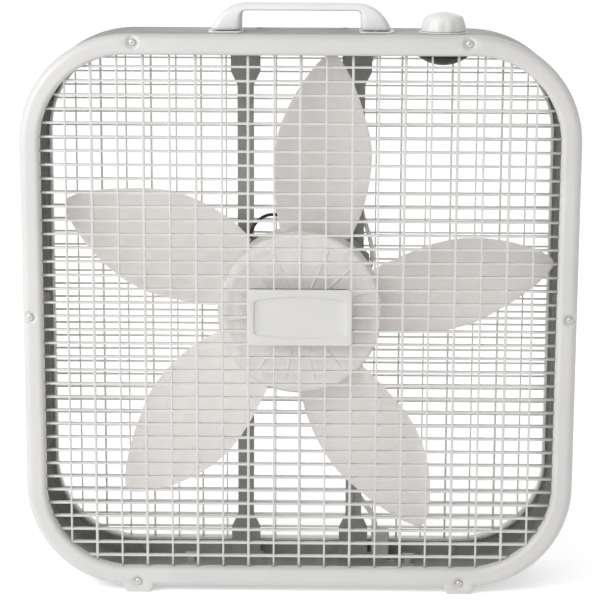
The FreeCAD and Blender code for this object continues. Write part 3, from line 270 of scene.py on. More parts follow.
def painted_steel():
    """Satin grey paint on sheet steel, with orange peel, dust and faint rubbed streaks."""
    recipe = Recipe("grey_paint")
    colour = (0.29, 0.294, 0.284)
    clouds = recipe.noise(9.0, 4.0, 0.6)
    base = recipe.ramp(clouds, ((0.3, shade(colour, 0.82)), (0.7, shade(colour, 1.16))))
    streaks = recipe.noise(90.0, 3.0, 0.55, recipe.stretched((1.0, 0.06, 1.0)))
    worn = recipe.ramp(streaks, ((0.56, (0.0, 0.0, 0.0)), (0.74, (0.11, 0.11, 0.105))))
    dusty = recipe.ramp(recipe.noise(520.0, 2.0), ((0.62, (0.0, 0.0, 0.0)), (0.78, (0.06, 0.06, 0.057))))
    recipe.colour(recipe.blend("ADD", 0.7, recipe.blend("ADD", 0.5, base, worn), dusty))
    recipe.rough(recipe.span(recipe.noise(45.0, 3.0), 0.46, 0.62))
    recipe.relief(recipe.noise(520.0, 2.0), 0.00006, 0.5)
    recipe.shader.inputs["Specular IOR Level"].default_value = 0.5
    return recipe.material


def plated_steel(name, colour, roughness, spangle):
    """Zinc or nickel plate: soft crystalline patches and fine rolling marks."""
    recipe = Recipe(name)
    cells = recipe.node("ShaderNodeTexVoronoi", feature="F1")
    cells.inputs["Scale"].default_value = 210.0
    recipe.link(recipe.place, cells.inputs["Vector"])
    tone = recipe.node("ShaderNodeSeparateColor")
    recipe.link(cells.outputs["Color"], tone.inputs["Color"])
    dark, light = shade(colour, 1.0 - spangle), shade(colour, 1.0 + spangle)
    patches = recipe.ramp(tone.outputs["Red"], ((0.0, dark), (1.0, light)))
    dull = recipe.ramp(recipe.noise(30.0, 4.0, 0.6), ((0.35, (0.86, 0.86, 0.85)), (0.65, (1.0, 1.0, 1.0))))
    recipe.colour(recipe.blend("MULTIPLY", 1.0, patches, dull))
    recipe.rough(recipe.span(recipe.noise(120.0, 3.0), roughness - 0.08, roughness + 0.1))
    rolled = recipe.noise(700.0, 2.0, 0.5, recipe.stretched((1.0, 1.0, 0.08)))
    recipe.relief(rolled, 0.00003, 0.5)
    recipe.shader.inputs["Metallic"].default_value = 0.85
    return recipe.material


def black_moulded():
    recipe = Recipe("black_plastic")
    stops = ((0.4, (0.012, 0.012, 0.012)), (0.75, (0.03, 0.03, 0.03)))
    dust = recipe.ramp(recipe.noise(60.0, 4.0, 0.65), stops)
    recipe.colour(dust)
    recipe.rough(recipe.span(recipe.noise(80.0, 2.0), 0.42, 0.6))
    recipe.relief(recipe.noise(1300.0, 2.0), 0.00004, 0.7)
    return recipe.material


def cast_metal():
    recipe = Recipe("cast_aluminium")
    tone = recipe.ramp(recipe.noise(38.0, 5.0, 0.65), ((0.3, (0.42, 0.42, 0.43)), (0.7, (0.62, 0.62, 0.63))))
    recipe.colour(tone)
    recipe.rough(recipe.span(recipe.noise(90.0, 3.0), 0.44, 0.66))
    recipe.relief(recipe.noise(850.0, 4.0, 0.6), 0.00009, 0.7)
    recipe.shader.inputs["Metallic"].default_value = 0.8
    return recipe.material


def bands_along(recipe, direction, scale, move=(0.0, 0.0, 0.0), kind="BANDS"):
    wave = recipe.node("ShaderNodeTexWave", wave_type=kind)
    if kind == "BANDS":
        wave.bands_direction = direction
    else:
        wave.rings_direction = direction
    wave.inputs["Scale"].default_value = scale
    wave.inputs["Distortion"].default_value = 0.15
    wave.inputs["Detail"].default_value = 0.0
    recipe.link(recipe.stretched((1.0, 1.0, 1.0), move), wave.inputs["Vector"])
    return wave.outputs["Fac"]


def laminated_steel():
    """Stacked electrical sheet: thin dark lines between the laminations."""
    recipe = Recipe("lamination_steel")
    lines = bands_along(recipe, "Y", 620.0)
    base = recipe.ramp(lines, ((0.12, (0.05, 0.05, 0.052)), (0.4, (0.21, 0.21, 0.22))))
    rust = recipe.ramp(recipe.noise(50.0, 4.0, 0.6), ((0.5, (1.0, 1.0, 1.0)), (0.8, (0.85, 0.7, 0.6))))
    recipe.colour(recipe.blend("MULTIPLY", 0.6, base, rust))
    recipe.rough(recipe.span(recipe.noise(100.0), 0.4, 0.6))
    recipe.relief(lines, 0.00012, 0.7)
    recipe.shader.inputs["Metallic"].default_value = 0.7
    return recipe.material


def wound_copper():
    """Enamelled wire wound round the motor's axis."""
    recipe = Recipe("copper_wire")
    turns = bands_along(recipe, "Y", 480.0, (0.0, 0.0, -CENTRE_Z * MM), "RINGS")
    base = recipe.ramp(turns, ((0.15, (0.16, 0.055, 0.02)), (0.6, (0.62, 0.27, 0.11))))
    varnish = recipe.ramp(recipe.noise(120.0, 3.0), ((0.35, (0.75, 0.68, 0.6)), (0.65, (1.0, 1.0, 1.0))))
    recipe.colour(recipe.blend("MULTIPLY", 0.8, base, varnish))
    recipe.rough(recipe.span(recipe.noise(200.0), 0.28, 0.42))
    recipe.relief(turns, 0.0003, 0.9)
    recipe.shader.inputs["Metallic"].default_value = 0.75
    return recipe.material


def sintered_bronze():
    recipe = Recipe("bronze")
    stops = ((0.3, (0.28, 0.18, 0.07)), (0.7, (0.56, 0.41, 0.2)))
    recipe.colour(recipe.ramp(recipe.noise(700.0, 3.0, 0.7), stops))
    recipe.rough(recipe.span(recipe.noise(300.0), 0.38, 0.55))
    recipe.relief(recipe.noise(1500.0, 3.0), 0.00006, 0.7)
    recipe.shader.inputs["Metallic"].default_value = 0.9
    return recipe.material


def oiled_felt():
    recipe = Recipe("felt")
    fibres = recipe.noise(900.0, 5.0, 0.7)
    recipe.colour(recipe.ramp(fibres, ((0.3, (0.35, 0.3, 0.2)), (0.7, (0.66, 0.6, 0.45)))))
    recipe.rough(recipe.span(fibres, 0.8, 0.98))
    recipe.relief(fibres, 0.0004, 0.9)
    return recipe.material


def lead_jacket(name, colour):
    """Soft PVC lead insulation with a slight sheen and handling marks."""
    recipe = Recipe(name)
    stops = ((0.3, shade(colour, 0.85)), (0.7, shade(colour, 1.08)))
    recipe.colour(recipe.ramp(recipe.noise(70.0, 4.0, 0.6), stops))
    recipe.rough(recipe.span(recipe.noise(150.0, 2.0), 0.38, 0.55))
    recipe.relief(recipe.noise(1200.0, 2.0), 0.00004, 0.6)
    return recipe.material


def make_materials():
    return {
        "white_plastic": moulded("white_plastic", (0.495, 0.49, 0.482), 0.42, (1.0, 0.985, 0.96)),
        # Brighter copy of the same white plastic for the handle, knob, handle pads and switch escutcheon:
        # painted light standing in for the extra light those parts catch, not a different plastic.
        "white_plastic_painted_light": moulded("white_plastic_painted_light", (0.66, 0.658, 0.66), 0.40, (1.0, 0.99, 0.97)),
        "ivory_plastic": moulded("ivory_plastic", (0.78, 0.775, 0.74), 0.48, (1.0, 0.98, 0.93)),
        "blade_plastic": moulded("blade_plastic", (0.85, 0.815, 0.79), 0.46, (1.0, 0.985, 0.965)),
        "nylon": moulded("nylon", (0.70, 0.69, 0.66), 0.36),
        "grey_paint": painted_steel(),
        "zinc_steel": plated_steel("zinc_steel", (0.50, 0.51, 0.52), 0.42, 0.14),
        "bright_steel": plated_steel("bright_steel", (0.60, 0.60, 0.60), 0.26, 0.05),
        "black_plastic": black_moulded(),
        "black_rubber": lead_jacket("black_rubber", (0.03, 0.03, 0.03)),
        "cast_aluminium": cast_metal(),
        "lamination_steel": laminated_steel(),
        "copper_wire": wound_copper(),
        "bronze": sintered_bronze(),
        "felt": oiled_felt(),
        "white_lead": lead_jacket("white_lead", (0.72, 0.72, 0.70)),
        "black_lead": lead_jacket("black_lead", (0.028, 0.028, 0.028)),
    }


# ---------------------------------------------------------------- mesh helpers

def piece(name, vertices, faces, slot, body, replaced, sharp=42.0, material=None):
    """Mesh object in the frame, from vertices in millimetres, that rides on a body."""
    return finish_piece(name, raw_mesh(name, vertices, faces, sharp), slot, body, replaced, material)


def raw_mesh(name, vertices, faces, sharp=42.0):
    """Mesh from vertices in millimetres."""
    mesh = bpy.data.meshes.new(name)
    mesh.from_pydata([(x * MM, y * MM, z * MM) for x, y, z in vertices], [], faces)
    tidy_mesh(mesh, sharp)
    return mesh


def finish_piece(name, mesh, slot, body, replaced, material=None):
    """Object of one material, its slot's unless named, that rides on a body and stands for CAD nodes."""
    mesh.materials.clear()
    mesh.materials.append(MATERIALS[material or slot])
    obj = bpy.data.objects.new(name, mesh)
    bpy.context.scene.collection.objects.link(obj)
    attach(obj, body)
    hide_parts(*replaced)
    return obj


def tidy_mesh(mesh, sharp):
    """Outward normals, smooth faces, and hard edges only where the surface really turns."""
    work = bmesh.new()
    work.from_mesh(mesh)
    bmesh.ops.recalc_face_normals(work, faces=work.faces)
    limit = math.radians(sharp)
    for face in work.faces:
        face.smooth = True
    for edge in work.edges:
        edge.smooth = edge.calc_face_angle(0.0) < limit
    work.to_mesh(mesh)
    work.free()


def subdivide(obj, levels):
    modifier = obj.modifiers.new("subdivision", "SUBSURF")
    modifier.levels = levels
    modifier.render_levels = levels


def arc(centre, radius, start, end, steps):
    """Points on a circle from one angle to another, in degrees."""
    points = []
    for i in range(steps + 1):
        turn = math.radians(start + (end - start) * i / steps)
        points.append((centre[0] + radius * math.cos(turn), centre[1] + radius * math.sin(turn)))
    return points


def line(start, end, steps):
    """Points along a straight line, without its end."""
    return [(start[0] + (end[0] - start[0]) * i / steps, start[1] + (end[1] - start[1]) * i / steps)
            for i in range(steps)]


def smooth_step(value):
    value = max(0.0, min(1.0, value))
    return value * value * (3 - 2 * value)


def loft(rings, closed_path=False, caps=False):
    """Faces between rings of equal length, joined round each ring."""
    count, around = len(rings), len(rings[0])
    vertices = [point for ring_points in rings for point in ring_points]
    faces = []
    for i in range(count if closed_path else count - 1):
        a, b = i * around, ((i + 1) % count) * around
        for j in range(around):
            k = (j + 1) % around
            faces.append((a + j, a + k, b + k, b + j))
    if caps:
        faces.append(tuple(range(around)))
        faces.append(tuple((count - 1) * around + j for j in range(around)))
    return vertices, faces


def lathe(profile, steps, place, closed=False):
    """Turn (radius, height) points about an axis. place(radius, angle, height) gives the point."""
    angles = [2 * math.pi * j / steps for j in range(steps)]
    rings = [[place(radius, angle, height) for angle in angles] for radius, height in profile]
    return loft(rings, closed_path=closed)


# ---------------------------------------------------------------- bezels

def outline_stations(half_w, half_h, radius, marks):
    """(x, z, normal x, normal z) round a rounded rectangle, closer together near the marks."""
    stations = []
    corner_steps = 22
    for turn, sx, sz in ((0, 1, 1), (90, -1, 1), (180, -1, -1), (270, 1, -1)):
        cx, cz = sx * (half_w - radius), sz * (half_h - radius)
        for i in range(corner_steps + 1):
            angle = math.radians(turn + 90.0 * i / corner_steps)
            nx, nz = math.cos(angle), math.sin(angle)
            stations.append((cx + radius * nx, CENTRE_Z + cz + radius * nz, nx, nz))
        x0, z0, nx, nz = stations[-1]
        along = (-nz, nx)
        run = 2 * ((half_w if turn in (0, 180) else half_h) - radius)
        stops = {run * i / 16 for i in range(1, 16)}
        for mx, mz in marks:
            if abs((mx - x0) * nx + (mz - z0) * nz) > 30:
                continue
            middle = (mx - x0) * along[0] + (mz - z0) * along[1]
            stops |= {middle + step for step in MARK_STEPS if 0 < middle + step < run}
        last = 0.0
        for stop in sorted(stops):
            if stop - last > 0.5 and run - stop > 0.5:
                stations.append((x0 + along[0] * stop, z0 + along[1] * stop, nx, nz))
                last = stop
    return stations


DIMPLE_RADIUS, DIMPLE_FLOOR = 7.2, 3.9
MARK_STEPS = [DIMPLE_RADIUS * i / 9 for i in range(-9, 10)]


def dimple_depth(x, z):
    """How far the bezel's face dips round the nearest screw."""
    reach = min(math.hypot(x - sx, z - sz) for sx, sz in SCREW_PLACES)
    return SCREW_SEAT * smooth_step((DIMPLE_RADIUS - reach) / (DIMPLE_RADIUS - DIMPLE_FLOOR))


def bezel_section(outer_inset, skirt_end, outer_bend, inner_bend, back):
    """Closed channel section as (inset, y) points."""
    t = BEZEL_WALL
    outer_c = (outer_inset + outer_bend, FRONT + outer_bend)
    inner_c = (BEZEL_BAND - inner_bend, FRONT + inner_bend)
    front = line((outer_inset, skirt_end), (outer_inset, outer_c[1]), 3)
    front += arc(outer_c, outer_bend, 180, 270, 10)
    front += line((outer_c[0], FRONT), (inner_c[0], FRONT), 5)[1:]
    front += arc(inner_c, inner_bend, 270, 360, 7)
    rear = [(BEZEL_BAND, back), (BEZEL_BAND - t, back), (BEZEL_BAND - t, inner_c[1])]
    rear += arc(inner_c, inner_bend - t, 360, 270, 4)[1:]
    rear += line((inner_c[0], FRONT + t), (outer_c[0], FRONT + t), 4)[1:]
    rear += arc(outer_c, outer_bend - t, 270, 180, 5)
    rear += [(outer_inset + t, skirt_end)]
    return front + rear


def make_bezel(name, section, slot, replaced, mirrored=False):
    """Sweep the channel section round the fan and press a dimple in it at each screw."""
    side = -1.0 if mirrored else 1.0
    rings = []
    for x, z, nx, nz in outline_stations(HALF_W, HALF_H, CORNER, SCREW_PLACES):
        ring_points = []
        for inset, y in section:
            px, pz = x - nx * inset, z - nz * inset
            dip = dimple_depth(px, pz) if y < FRONT + 9.0 else 0.0
            ring_points.append((px, side * (y + dip), pz))
        rings.append(ring_points)
    vertices, faces = loft(rings, closed_path=True)
    return piece(name, vertices, faces, slot, "housing", (replaced,))


# ---------------------------------------------------------------- grille bars

def bar_edges(count, pitch, even_width, odd_width):
    """Lower and upper edge of each bar. Bars an even number of steps from the middle have one width."""
    half = count // 2
    bars = []
    for k in range(-half, half + 1):
        reach = (even_width if k % 2 == 0 else odd_width) / 2
        bars.append((k * pitch - reach, k * pitch + reach))
    return bars


def bar_stops(bars, half_field):
    """Positions across the field, and how far each lies below the bars' flat fronts."""
    stops, drops, solid = [-half_field], [None], []
    for low, high in bars:
        rounding = (high - low) * BAR_ROUNDING
        stops += [low, low + rounding, high - rounding, high]
        drops += [rounding * 0.8, 0.0, 0.0, rounding * 0.8]
        solid += [False, True, True, True]
    stops.append(half_field)
    drops.append(None)
    solid.append(False)
    return stops, drops, solid


def crossing_bars(widths):
    """One skin over all the crossing bars, with softened edges, before it is trimmed to the opening."""
    thick, thin, level = widths
    columns = bar_edges(COLUMN_COUNT, COLUMN_PITCH, thick, thin)
    rows = bar_edges(ROW_COUNT, ROW_PITCH, level, level)
    xs, x_drops, x_solid = bar_stops(columns, OPEN_HALF_W + 6.0)
    zs, z_drops, z_solid = bar_stops(rows, OPEN_HALF_H + 6.0)
    vertices, numbers, faces = [], {}, []

    def corner(i, j, back):
        key = (i, j, back)
        if key not in numbers:
            drop = min(d for d in (x_drops[i], z_drops[j]) if d is not None)
            y = -BAR_BACK - drop if back else -BAR_FRONT + drop
            numbers[key] = len(vertices)
            vertices.append((xs[i], y, CENTRE_Z + zs[j]))
        return numbers[key]

    def filled(i, j):
        return 0 <= i < len(x_solid) and 0 <= j < len(z_solid) and (x_solid[i] or z_solid[j])

    for i in range(len(x_solid)):
        for j in range(len(z_solid)):
            if not filled(i, j):
                continue
            square = ((i, j), (i + 1, j), (i + 1, j + 1), (i, j + 1))
            faces.append(tuple(corner(a, b, False) for a, b in square))
            faces.append(tuple(corner(a, b, True) for a, b in reversed(square)))
            neighbours = (((i, j - 1), 0, 1), ((i + 1, j), 1, 2), ((i, j + 1), 2, 3), ((i - 1, j), 3, 0))
            for near, start, end in neighbours:
                if not filled(*near):
                    a, b = square[start], square[end]
                    faces.append((corner(*a, False), corner(*a, True), corner(*b, True), corner(*b, False)))
    return vertices, faces


def opening_prism(margin):
    """Solid of the grille's opening, a little larger, that trims the bars."""
    half_w, half_h, radius = OPEN_HALF_W + margin, OPEN_HALF_H + margin, OPEN_CORNER + margin
    stations = outline_stations(half_w, half_h, radius, ())
    return loft([[(x, y, z) for x, z, _, _ in stations] for y in (-60.0, -40.0)], caps=True)


def trim(obj, cutter_mesh, operation="INTERSECT"):
    """Mesh of what lies inside the cutter, or with DIFFERENCE outside it."""
    cutter = bpy.data.objects.new("cutter", cutter_mesh)
    bpy.context.scene.collection.objects.link(cutter)
    modifier = obj.modifiers.new("trim", "BOOLEAN")
    modifier.operation = operation
    modifier.solver = "EXACT"
    modifier.object = cutter
    graph = bpy.context.evaluated_depsgraph_get()
    trimmed = bpy.data.meshes.new_from_object(obj.evaluated_get(graph))
    obj.modifiers.remove(modifier)
    bpy.data.objects.remove(cutter)
    return trimmed


def make_bars(name, widths, slot, node, turned_round):
    """Field of bars, trimmed to the rounded opening."""
    scratch = bpy.data.objects.new("bars", raw_mesh("bars", *crossing_bars(widths)))
    bpy.context.scene.collection.objects.link(scratch)
    mesh = trim(scratch, raw_mesh("opening", *opening_prism(1.1)))
    bpy.data.objects.remove(scratch)
    mesh.name = name
    if turned_round:
        mesh.transform(Matrix.Rotation(math.pi, 4, "Z"))
    finish_piece(name, mesh, slot, "housing", (node,))


# ---------------------------------------------------------------- foot tabs

def tab_outline(inset):
    """Half-open trapezoid of a tab, from the bezel down to the ground and back up."""
    top, shoulder = LOW_SCREWS[0][1] + 5.0, 6.5
    return [(15.0 - inset, top), (15.0 - inset, shoulder), (14.6 - inset, shoulder - 0.9),
            (12.3 - inset, 0.9 + inset), (11.3 - inset, inset), (-11.3 + inset, inset),
            (-12.3 + inset, 0.9 + inset), (-14.6 + inset, shoulder - 0.9), (-15.0 + inset, shoulder),
            (-15.0 + inset, top)]


def make_foot_tabs():
    """Chamfered tabs under the bezel, with a seat sunk in them for the bottom screws."""
    front, back = FRONT + 0.7, FLANGE - 1.7
    section = ((0.0, back), (0.0, front + 1.6), (0.3, front + 0.6), (0.9, front + 0.1), (1.8, front))
    for name, (x, z) in zip(("left_tab", "right_tab"), LOW_SCREWS):
        rings = []
        for inset, y in section:
            rings.append([(x + px, y, pz) for px, pz in tab_outline(inset)])
        scratch = bpy.data.objects.new(name, raw_mesh(name, *loft(rings, caps=True)))
        bpy.context.scene.collection.objects.link(scratch)
        seat = [(DIMPLE_RADIUS + 1.0, FRONT - 0.4), (DIMPLE_FLOOR, FRONT + SCREW_SEAT)]
        turns = [math.tau * i / 48 for i in range(48)]
        cone = [[(x + r * math.cos(turn), y, z + r * math.sin(turn)) for turn in turns] for r, y in seat]
        mesh = trim(scratch, raw_mesh("seat", *loft(cone, caps=True)), "DIFFERENCE")
        bpy.data.objects.remove(scratch)
        finish_piece(name, mesh, "white_plastic", "housing", ("front_grille",))


# ---------------------------------------------------------------- badge plate

def ray_loop(inside, half_w, half_h, count):
    """Points where rays from the middle leave a shape that surrounds it."""
    points = []
    for i in range(count):
        turn = 2 * math.pi * (i + 0.5) / count
        dx, dz = half_w * math.cos(turn), half_h * math.sin(turn)
        low, high = 0.0, 2.0
        for _ in range(30):
            middle = (low + high) / 2
            low, high = (middle, high) if inside(dx * middle, dz * middle) else (low, middle)
        points.append((dx * low, dz * low))
    return points


def rounded_box(half_w, half_h, radius):
    def inside(x, z):
        over_x, over_z = max(0.0, abs(x) - half_w + radius), max(0.0, abs(z) - half_h + radius)
        return math.hypot(over_x, over_z) < radius
    return inside


def barrel(half_w, edge, middle, inset):
    """Panel with bowed long sides and rounded corners."""
    radius = 2.6 - inset
    def inside(x, z):
        height = edge + (middle - edge) * (1 - (x / half_w) ** 2) - inset
        over_x = max(0.0, abs(x) - half_w + inset + radius)
        over_z = max(0.0, abs(z) - height + radius)
        return math.hypot(over_x, over_z) < radius
    return inside


def make_badge():
    """Blank plate with a shallow barrel-shaped panel."""
    half_w = 2 * COLUMN_PITCH + FRONT_BARS[0] / 2
    half_h = 2 * ROW_PITCH + FRONT_BARS[2] / 2
    front, back = -BAR_FRONT - 1.4, -BAR_FRONT + 3.5
    count = 160
    loops = [(rounded_box(half_w, half_h, 3.4), back), (rounded_box(half_w, half_h, 3.4), front + 1.3)]
    for i in range(1, 5):
        turn = math.radians(90 * i / 4)
        inset = 1.3 * (1 - math.cos(turn))
        outline = rounded_box(half_w - inset, half_h - inset, 3.4 - inset)
        loops.append((outline, front + 1.3 * (1 - math.sin(turn))))
    panel = (44.0, 16.5, 20.5)
    loops.append((barrel(panel[0] + 0.5, panel[1] + 0.5, panel[2] + 0.5, 0.0), front))
    loops.append((barrel(*panel, 0.0), front + 0.25))
    loops.append((barrel(*panel, 0.35), front + 0.95))
    loops.append((barrel(*panel, 0.8), front + 1.2))
    rings = []
    for inside, y in loops:
        rings.append([(x, y, CENTRE_Z + z) for x, z in ray_loop(inside, half_w, half_h, count)])
    panel_floor = rings[-1]
    for share in (0.8, 0.5, 0.2):
        rings.append([(x * share, y, CENTRE_Z + (z - CENTRE_Z) * share) for x, y, z in panel_floor])
    vertices, faces = loft(rings, caps=True)
    return piece("badge_plate", vertices, faces, "white_plastic", "housing", ("front_grille",), 60.0)


# ---------------------------------------------------------------- fan

# Petal shape: distance from the axis, anticlockwise reach, clockwise reach and pitch in degrees.
BLADE_STATIONS = ((58.0, 22.0, 36.0, 27.0), (90.0, 31.0, 48.0, 26.0), (115.0, 37.0, 53.0, 24.5),
                  (140.0, 41.0, 54.5, 23.0), (165.0, 40.5, 52.0, 21.0), (190.0, 35.0, 43.5, 19.0),
                  (212.0, 26.5, 34.0, 17.5), (230.0, 16.5, 24.5, 16.5), (243.0, 7.5, 15.5, 16.0),
                  (251.0, -1.0, 8.0, 16.0))
BLADE_THICKNESS = 2.0
BLADE_CAMBER = 0.06


def blade_form(radius):
    """Reach to each side and pitch at a distance from the axis, on a smooth curve."""
    stations = BLADE_STATIONS
    last = len(stations) - 1
    i = max(k for k in range(last) if stations[k][0] <= radius or k == 0)
    around = [stations[max(0, min(last, k))] for k in (i - 1, i, i + 1, i + 2)]
    span_length = around[2][0] - around[1][0]
    t = (radius - around[1][0]) / span_length
    values = []
    for column in (1, 2, 3):
        p0, p1, p2, p3 = (station[column] for station in around)
        m1 = span_length * (p2 - p0) / max(1.0, around[2][0] - around[0][0])
        m2 = span_length * (p3 - p1) / max(1.0, around[3][0] - around[1][0])
        values.append((2 * t ** 3 - 3 * t ** 2 + 1) * p1 + (t ** 3 - 2 * t ** 2 + t) * m1
                      + (3 * t ** 2 - 2 * t ** 3) * p2 + (t ** 3 - t ** 2) * m2)
    return values


def blade_point(radius, share):
    """Middle surface of the petal: across (0 to 1) and out along it."""
    left, right, pitch = blade_form(radius)
    across = -left + (left + right) * share
    bow = BLADE_CAMBER * (left + right) * (1 - (2 * share - 1) ** 2)
    return across, BLADE_PLANE + across * math.tan(math.radians(pitch)) + bow


def root_radius(share, hub):
    """Distance out along the petal at which it meets the hub's wall."""
    low, high = 40.0, hub
    for _ in range(30):
        middle = (low + high) / 2
        reach = math.hypot(blade_point(max(middle, BLADE_STATIONS[0][0]), share)[0], middle)
        low, high = (middle, high) if reach < hub else (low, middle)
    return low


def petal_mesh():
    """Thin cambered petal with rounded edges, as rings round its section from root to tip."""
    across_steps, along_steps = 22, 40
    tip = BLADE_STATIONS[-1][0]
    shares = [(1 - math.cos(math.pi * i / across_steps)) / 2 for i in range(across_steps + 1)]
    roots = [root_radius(share, HUB_RADIUS - 1.2) for share in shares]
    rings = []
    for j in range(along_steps + 1):
        along = 1 - (1 - j / along_steps) ** 1.25
        past_end = max(0.0, (along - 0.985) / 0.015)
        end_taper = math.sqrt(max(0.0, 1 - past_end ** 2)) if j < along_steps else 0.3
        front, back = [], []
        for share, root in zip(shares, roots):
            radius = root + (tip - root) * along
            u, y = blade_point(max(radius, BLADE_STATIONS[0][0]), share)
            edge = math.sqrt(max(0.0, 1 - abs(2 * share - 1) ** 10))
            fillet = 1.5 * max(0.0, 1 - (radius - root) / 9.0) ** 2
            half = (BLADE_THICKNESS / 2 + fillet) * max(0.25, edge) * max(0.3, end_taper)
            front.append((u, y - half, radius))
            back.append((u, y + half, radius))
        rings.append(front + back[::-1])
    return loft(rings, caps=True)


def make_blades():
    vertices, faces = petal_mesh()
    for i in range(BLADE_COUNT):
        turn = math.radians(BLADE_ANGLE + 360.0 / BLADE_COUNT * i)
        c, s = math.cos(turn), math.sin(turn)
        placed = [(x * c + z * s, y, CENTRE_Z + z * c - x * s) for x, y, z in vertices]
        blade = piece("blade_%d" % (i + 1), placed, faces, "blade_plastic", "fan_rotor", ("fan_blade",), 70.0)
        subdivide(blade, 1)


def about_axis(radius, angle, height):
    """A point at a radius and angle about the fan's axis, height being its y."""
    return radius * math.sin(angle), height, CENTRE_Z + radius * math.cos(angle)


def hub_section():
    """(radius, y) round the hub's cup: rim, sloped ledge, ribbed recess and boss."""
    y0, y1, wall, corner = -30.0, 6.0, 2.2, 4.0
    floor = y0 + 2.0
    outer = [(4.0, y0 - 4.0)] + arc((8.2, y0 - 3.2), 0.8, 270, 360, 3)
    outer += [(9.0, y0 - 0.4)] + arc((10.0, y0 - 0.5), 1.0, 180, 90, 3)
    outer += line((12.0, y0 + 0.5), (22.0, y0 + 0.5), 3)
    outer += line((22.0, y0 + 0.5), (28.0, floor), 2)
    outer += line((28.0, floor), (64.0, floor), 5) + [(64.0, floor), (67.0, floor - 0.5), (70.0, y0 + 0.3)]
    outer += line((72.0, y0), (HUB_RADIUS - corner, y0), 2)
    outer += arc((HUB_RADIUS - corner, y0 + corner), corner, 270, 360, 7)
    outer += line((HUB_RADIUS, y0 + corner + 2), (HUB_RADIUS, y1 - 0.5), 6)
    outer += arc((HUB_RADIUS - 0.6, y1 - 0.6), 0.6, 0, 90, 2)
    inner = arc((HUB_RADIUS - wall + 0.6, y1 - 0.6), 0.6, 90, 180, 2) + [(HUB_RADIUS - wall, y0 + corner)]
    inner += arc((HUB_RADIUS - corner, y0 + corner), corner - wall, 360, 270, 3)
    inner += [(71.0, y0 + wall), (68.0, floor + wall), (24.0, floor + wall), (10.0, floor + wall)]
    inner += [(10.0, y0 + 12.6), (9.6, y0 + 13.0), (4.0, y0 + 13.0)]
    return outer + inner


def make_hub():
    vertices, faces = lathe(hub_section(), 160, about_axis, closed=True)
    return piece("fan_hub", vertices, faces, "blade_plastic", "fan_rotor", ("fan_blade",), 50.0)


def rib_rings(turn):
    """Thin tapered rib standing in the hub's recess, as rings from the boss outwards."""
    y0, floor = -30.0, -28.0
    rings = []
    half = 1.1
    crest = ((23.6, y0 + 1.0), (34.0, y0 + 1.1), (50.0, y0 + 1.1), (62.0, y0 + 1.0), (68.4, y0 + 0.6))
    for radius, top in crest:
        section = [(-2 * half, floor + 0.4), (-half, top + 0.4), (-half * 0.5, top), (half * 0.5, top),
                   (half, top + 0.4), (2 * half, floor + 0.4)]
        rings.append([(u * math.cos(turn) + radius * math.sin(turn), y,
                       CENTRE_Z + radius * math.cos(turn) - u * math.sin(turn)) for u, y in section])
    return rings


def make_hub_ribs():
    vertices, faces = [], []
    for i in range(3 * BLADE_COUNT):
        rib_vertices, rib_faces = loft(rib_rings(math.radians(24.0 * i)), caps=True)
        faces += [tuple(number + len(vertices) for number in face) for face in rib_faces]
        vertices += rib_vertices
    return piece("hub_ribs", vertices, faces, "blade_plastic", "fan_rotor", ("fan_blade",), 50.0)


# ---------------------------------------------------------------- handle

def superloop(count, power):
    """Unit rounded square as (a, b) pairs."""
    points = []
    for i in range(count):
        turn = 2 * math.pi * i / count
        c, s = math.cos(turn), math.sin(turn)
        points.append((math.copysign(abs(c) ** power, c), math.copysign(abs(s) ** power, s)))
    return points


def handle_stations():
    """Matching points on the outside and the inside of the arch, from its right leg to its left."""
    base, top = HANDLE_LOW.z, HANDLE_HIGH.z
    end, inner = HANDLE_HIGH.x, 56.5
    gap_top, fillet = top - 7.0, 4.0
    shoulder = [(0.0, 0.0), (-0.8, 3.0), (-2.6, 7.0), (-6.2, 12.5), (-10.5, 17.0), (-15.5, 20.6),
                (-21.0, 23.2), (-27.0, 24.9), (-32.0, 25.5)]
    outside = [(end + x, base + z * (top - base) / shoulder[-1][1]) for x, z in shoulder]
    rise = gap_top - fillet - base
    inside = [(inner, base + rise * i / 4) for i in range(5)]
    inside += arc((inner - fillet, gap_top - fillet), fillet, 22.5, 90, 3)
    spread = 6
    outside += [(outside[-1][0] * (1 - i / spread), top) for i in range(1, spread + 1)]
    inside.append((inside[-1][0] - 2.0, gap_top))
    inside += [(inside[8][0] * (1 - i / spread), gap_top) for i in range(1, spread + 1)]
    right = list(zip(outside, inside))
    left = [((-ox, oz), (-ix, iz)) for (ox, oz), (ix, iz) in reversed(right[:-1])]
    return right + left


def handle_depth(z):
    """Half depth of the handle at a height: upright at the foot, rounded over at the top."""
    share = (z - HANDLE_LOW.z - 7.0) / (HANDLE_HIGH.z - HANDLE_LOW.z - 7.0)
    return HANDLE_HIGH.y - 7.5 * max(0.0, share) ** 2.2


def make_handle():
    rings = []
    for (ox, oz), (ix, iz) in handle_stations():
        ring_points = []
        for a, b in superloop(32, 0.42):
            x, z = (ox + ix) / 2 + (ox - ix) / 2 * a, (oz + iz) / 2 + (oz - iz) / 2 * a
            ring_points.append((x, handle_depth(z) * b, z))
        rings.append(ring_points)
    vertices, faces = loft(rings, caps=True)
    # The grip takes the brighter copy of the white plastic: painted light for the extra light that falls on
    # the handle.
    handle = piece("handle_grip", vertices, faces, "white_plastic", "housing", ("handle",), 75.0,
                   "white_plastic_painted_light")
    subdivide(handle, 1)
    return handle


# ---------------------------------------------------------------- knob and switch

def about_knob(radius, angle, height):
    x = (KNOB_LOW.x + KNOB_HIGH.x) / 2
    return x + radius * math.cos(angle), radius * math.sin(angle), height


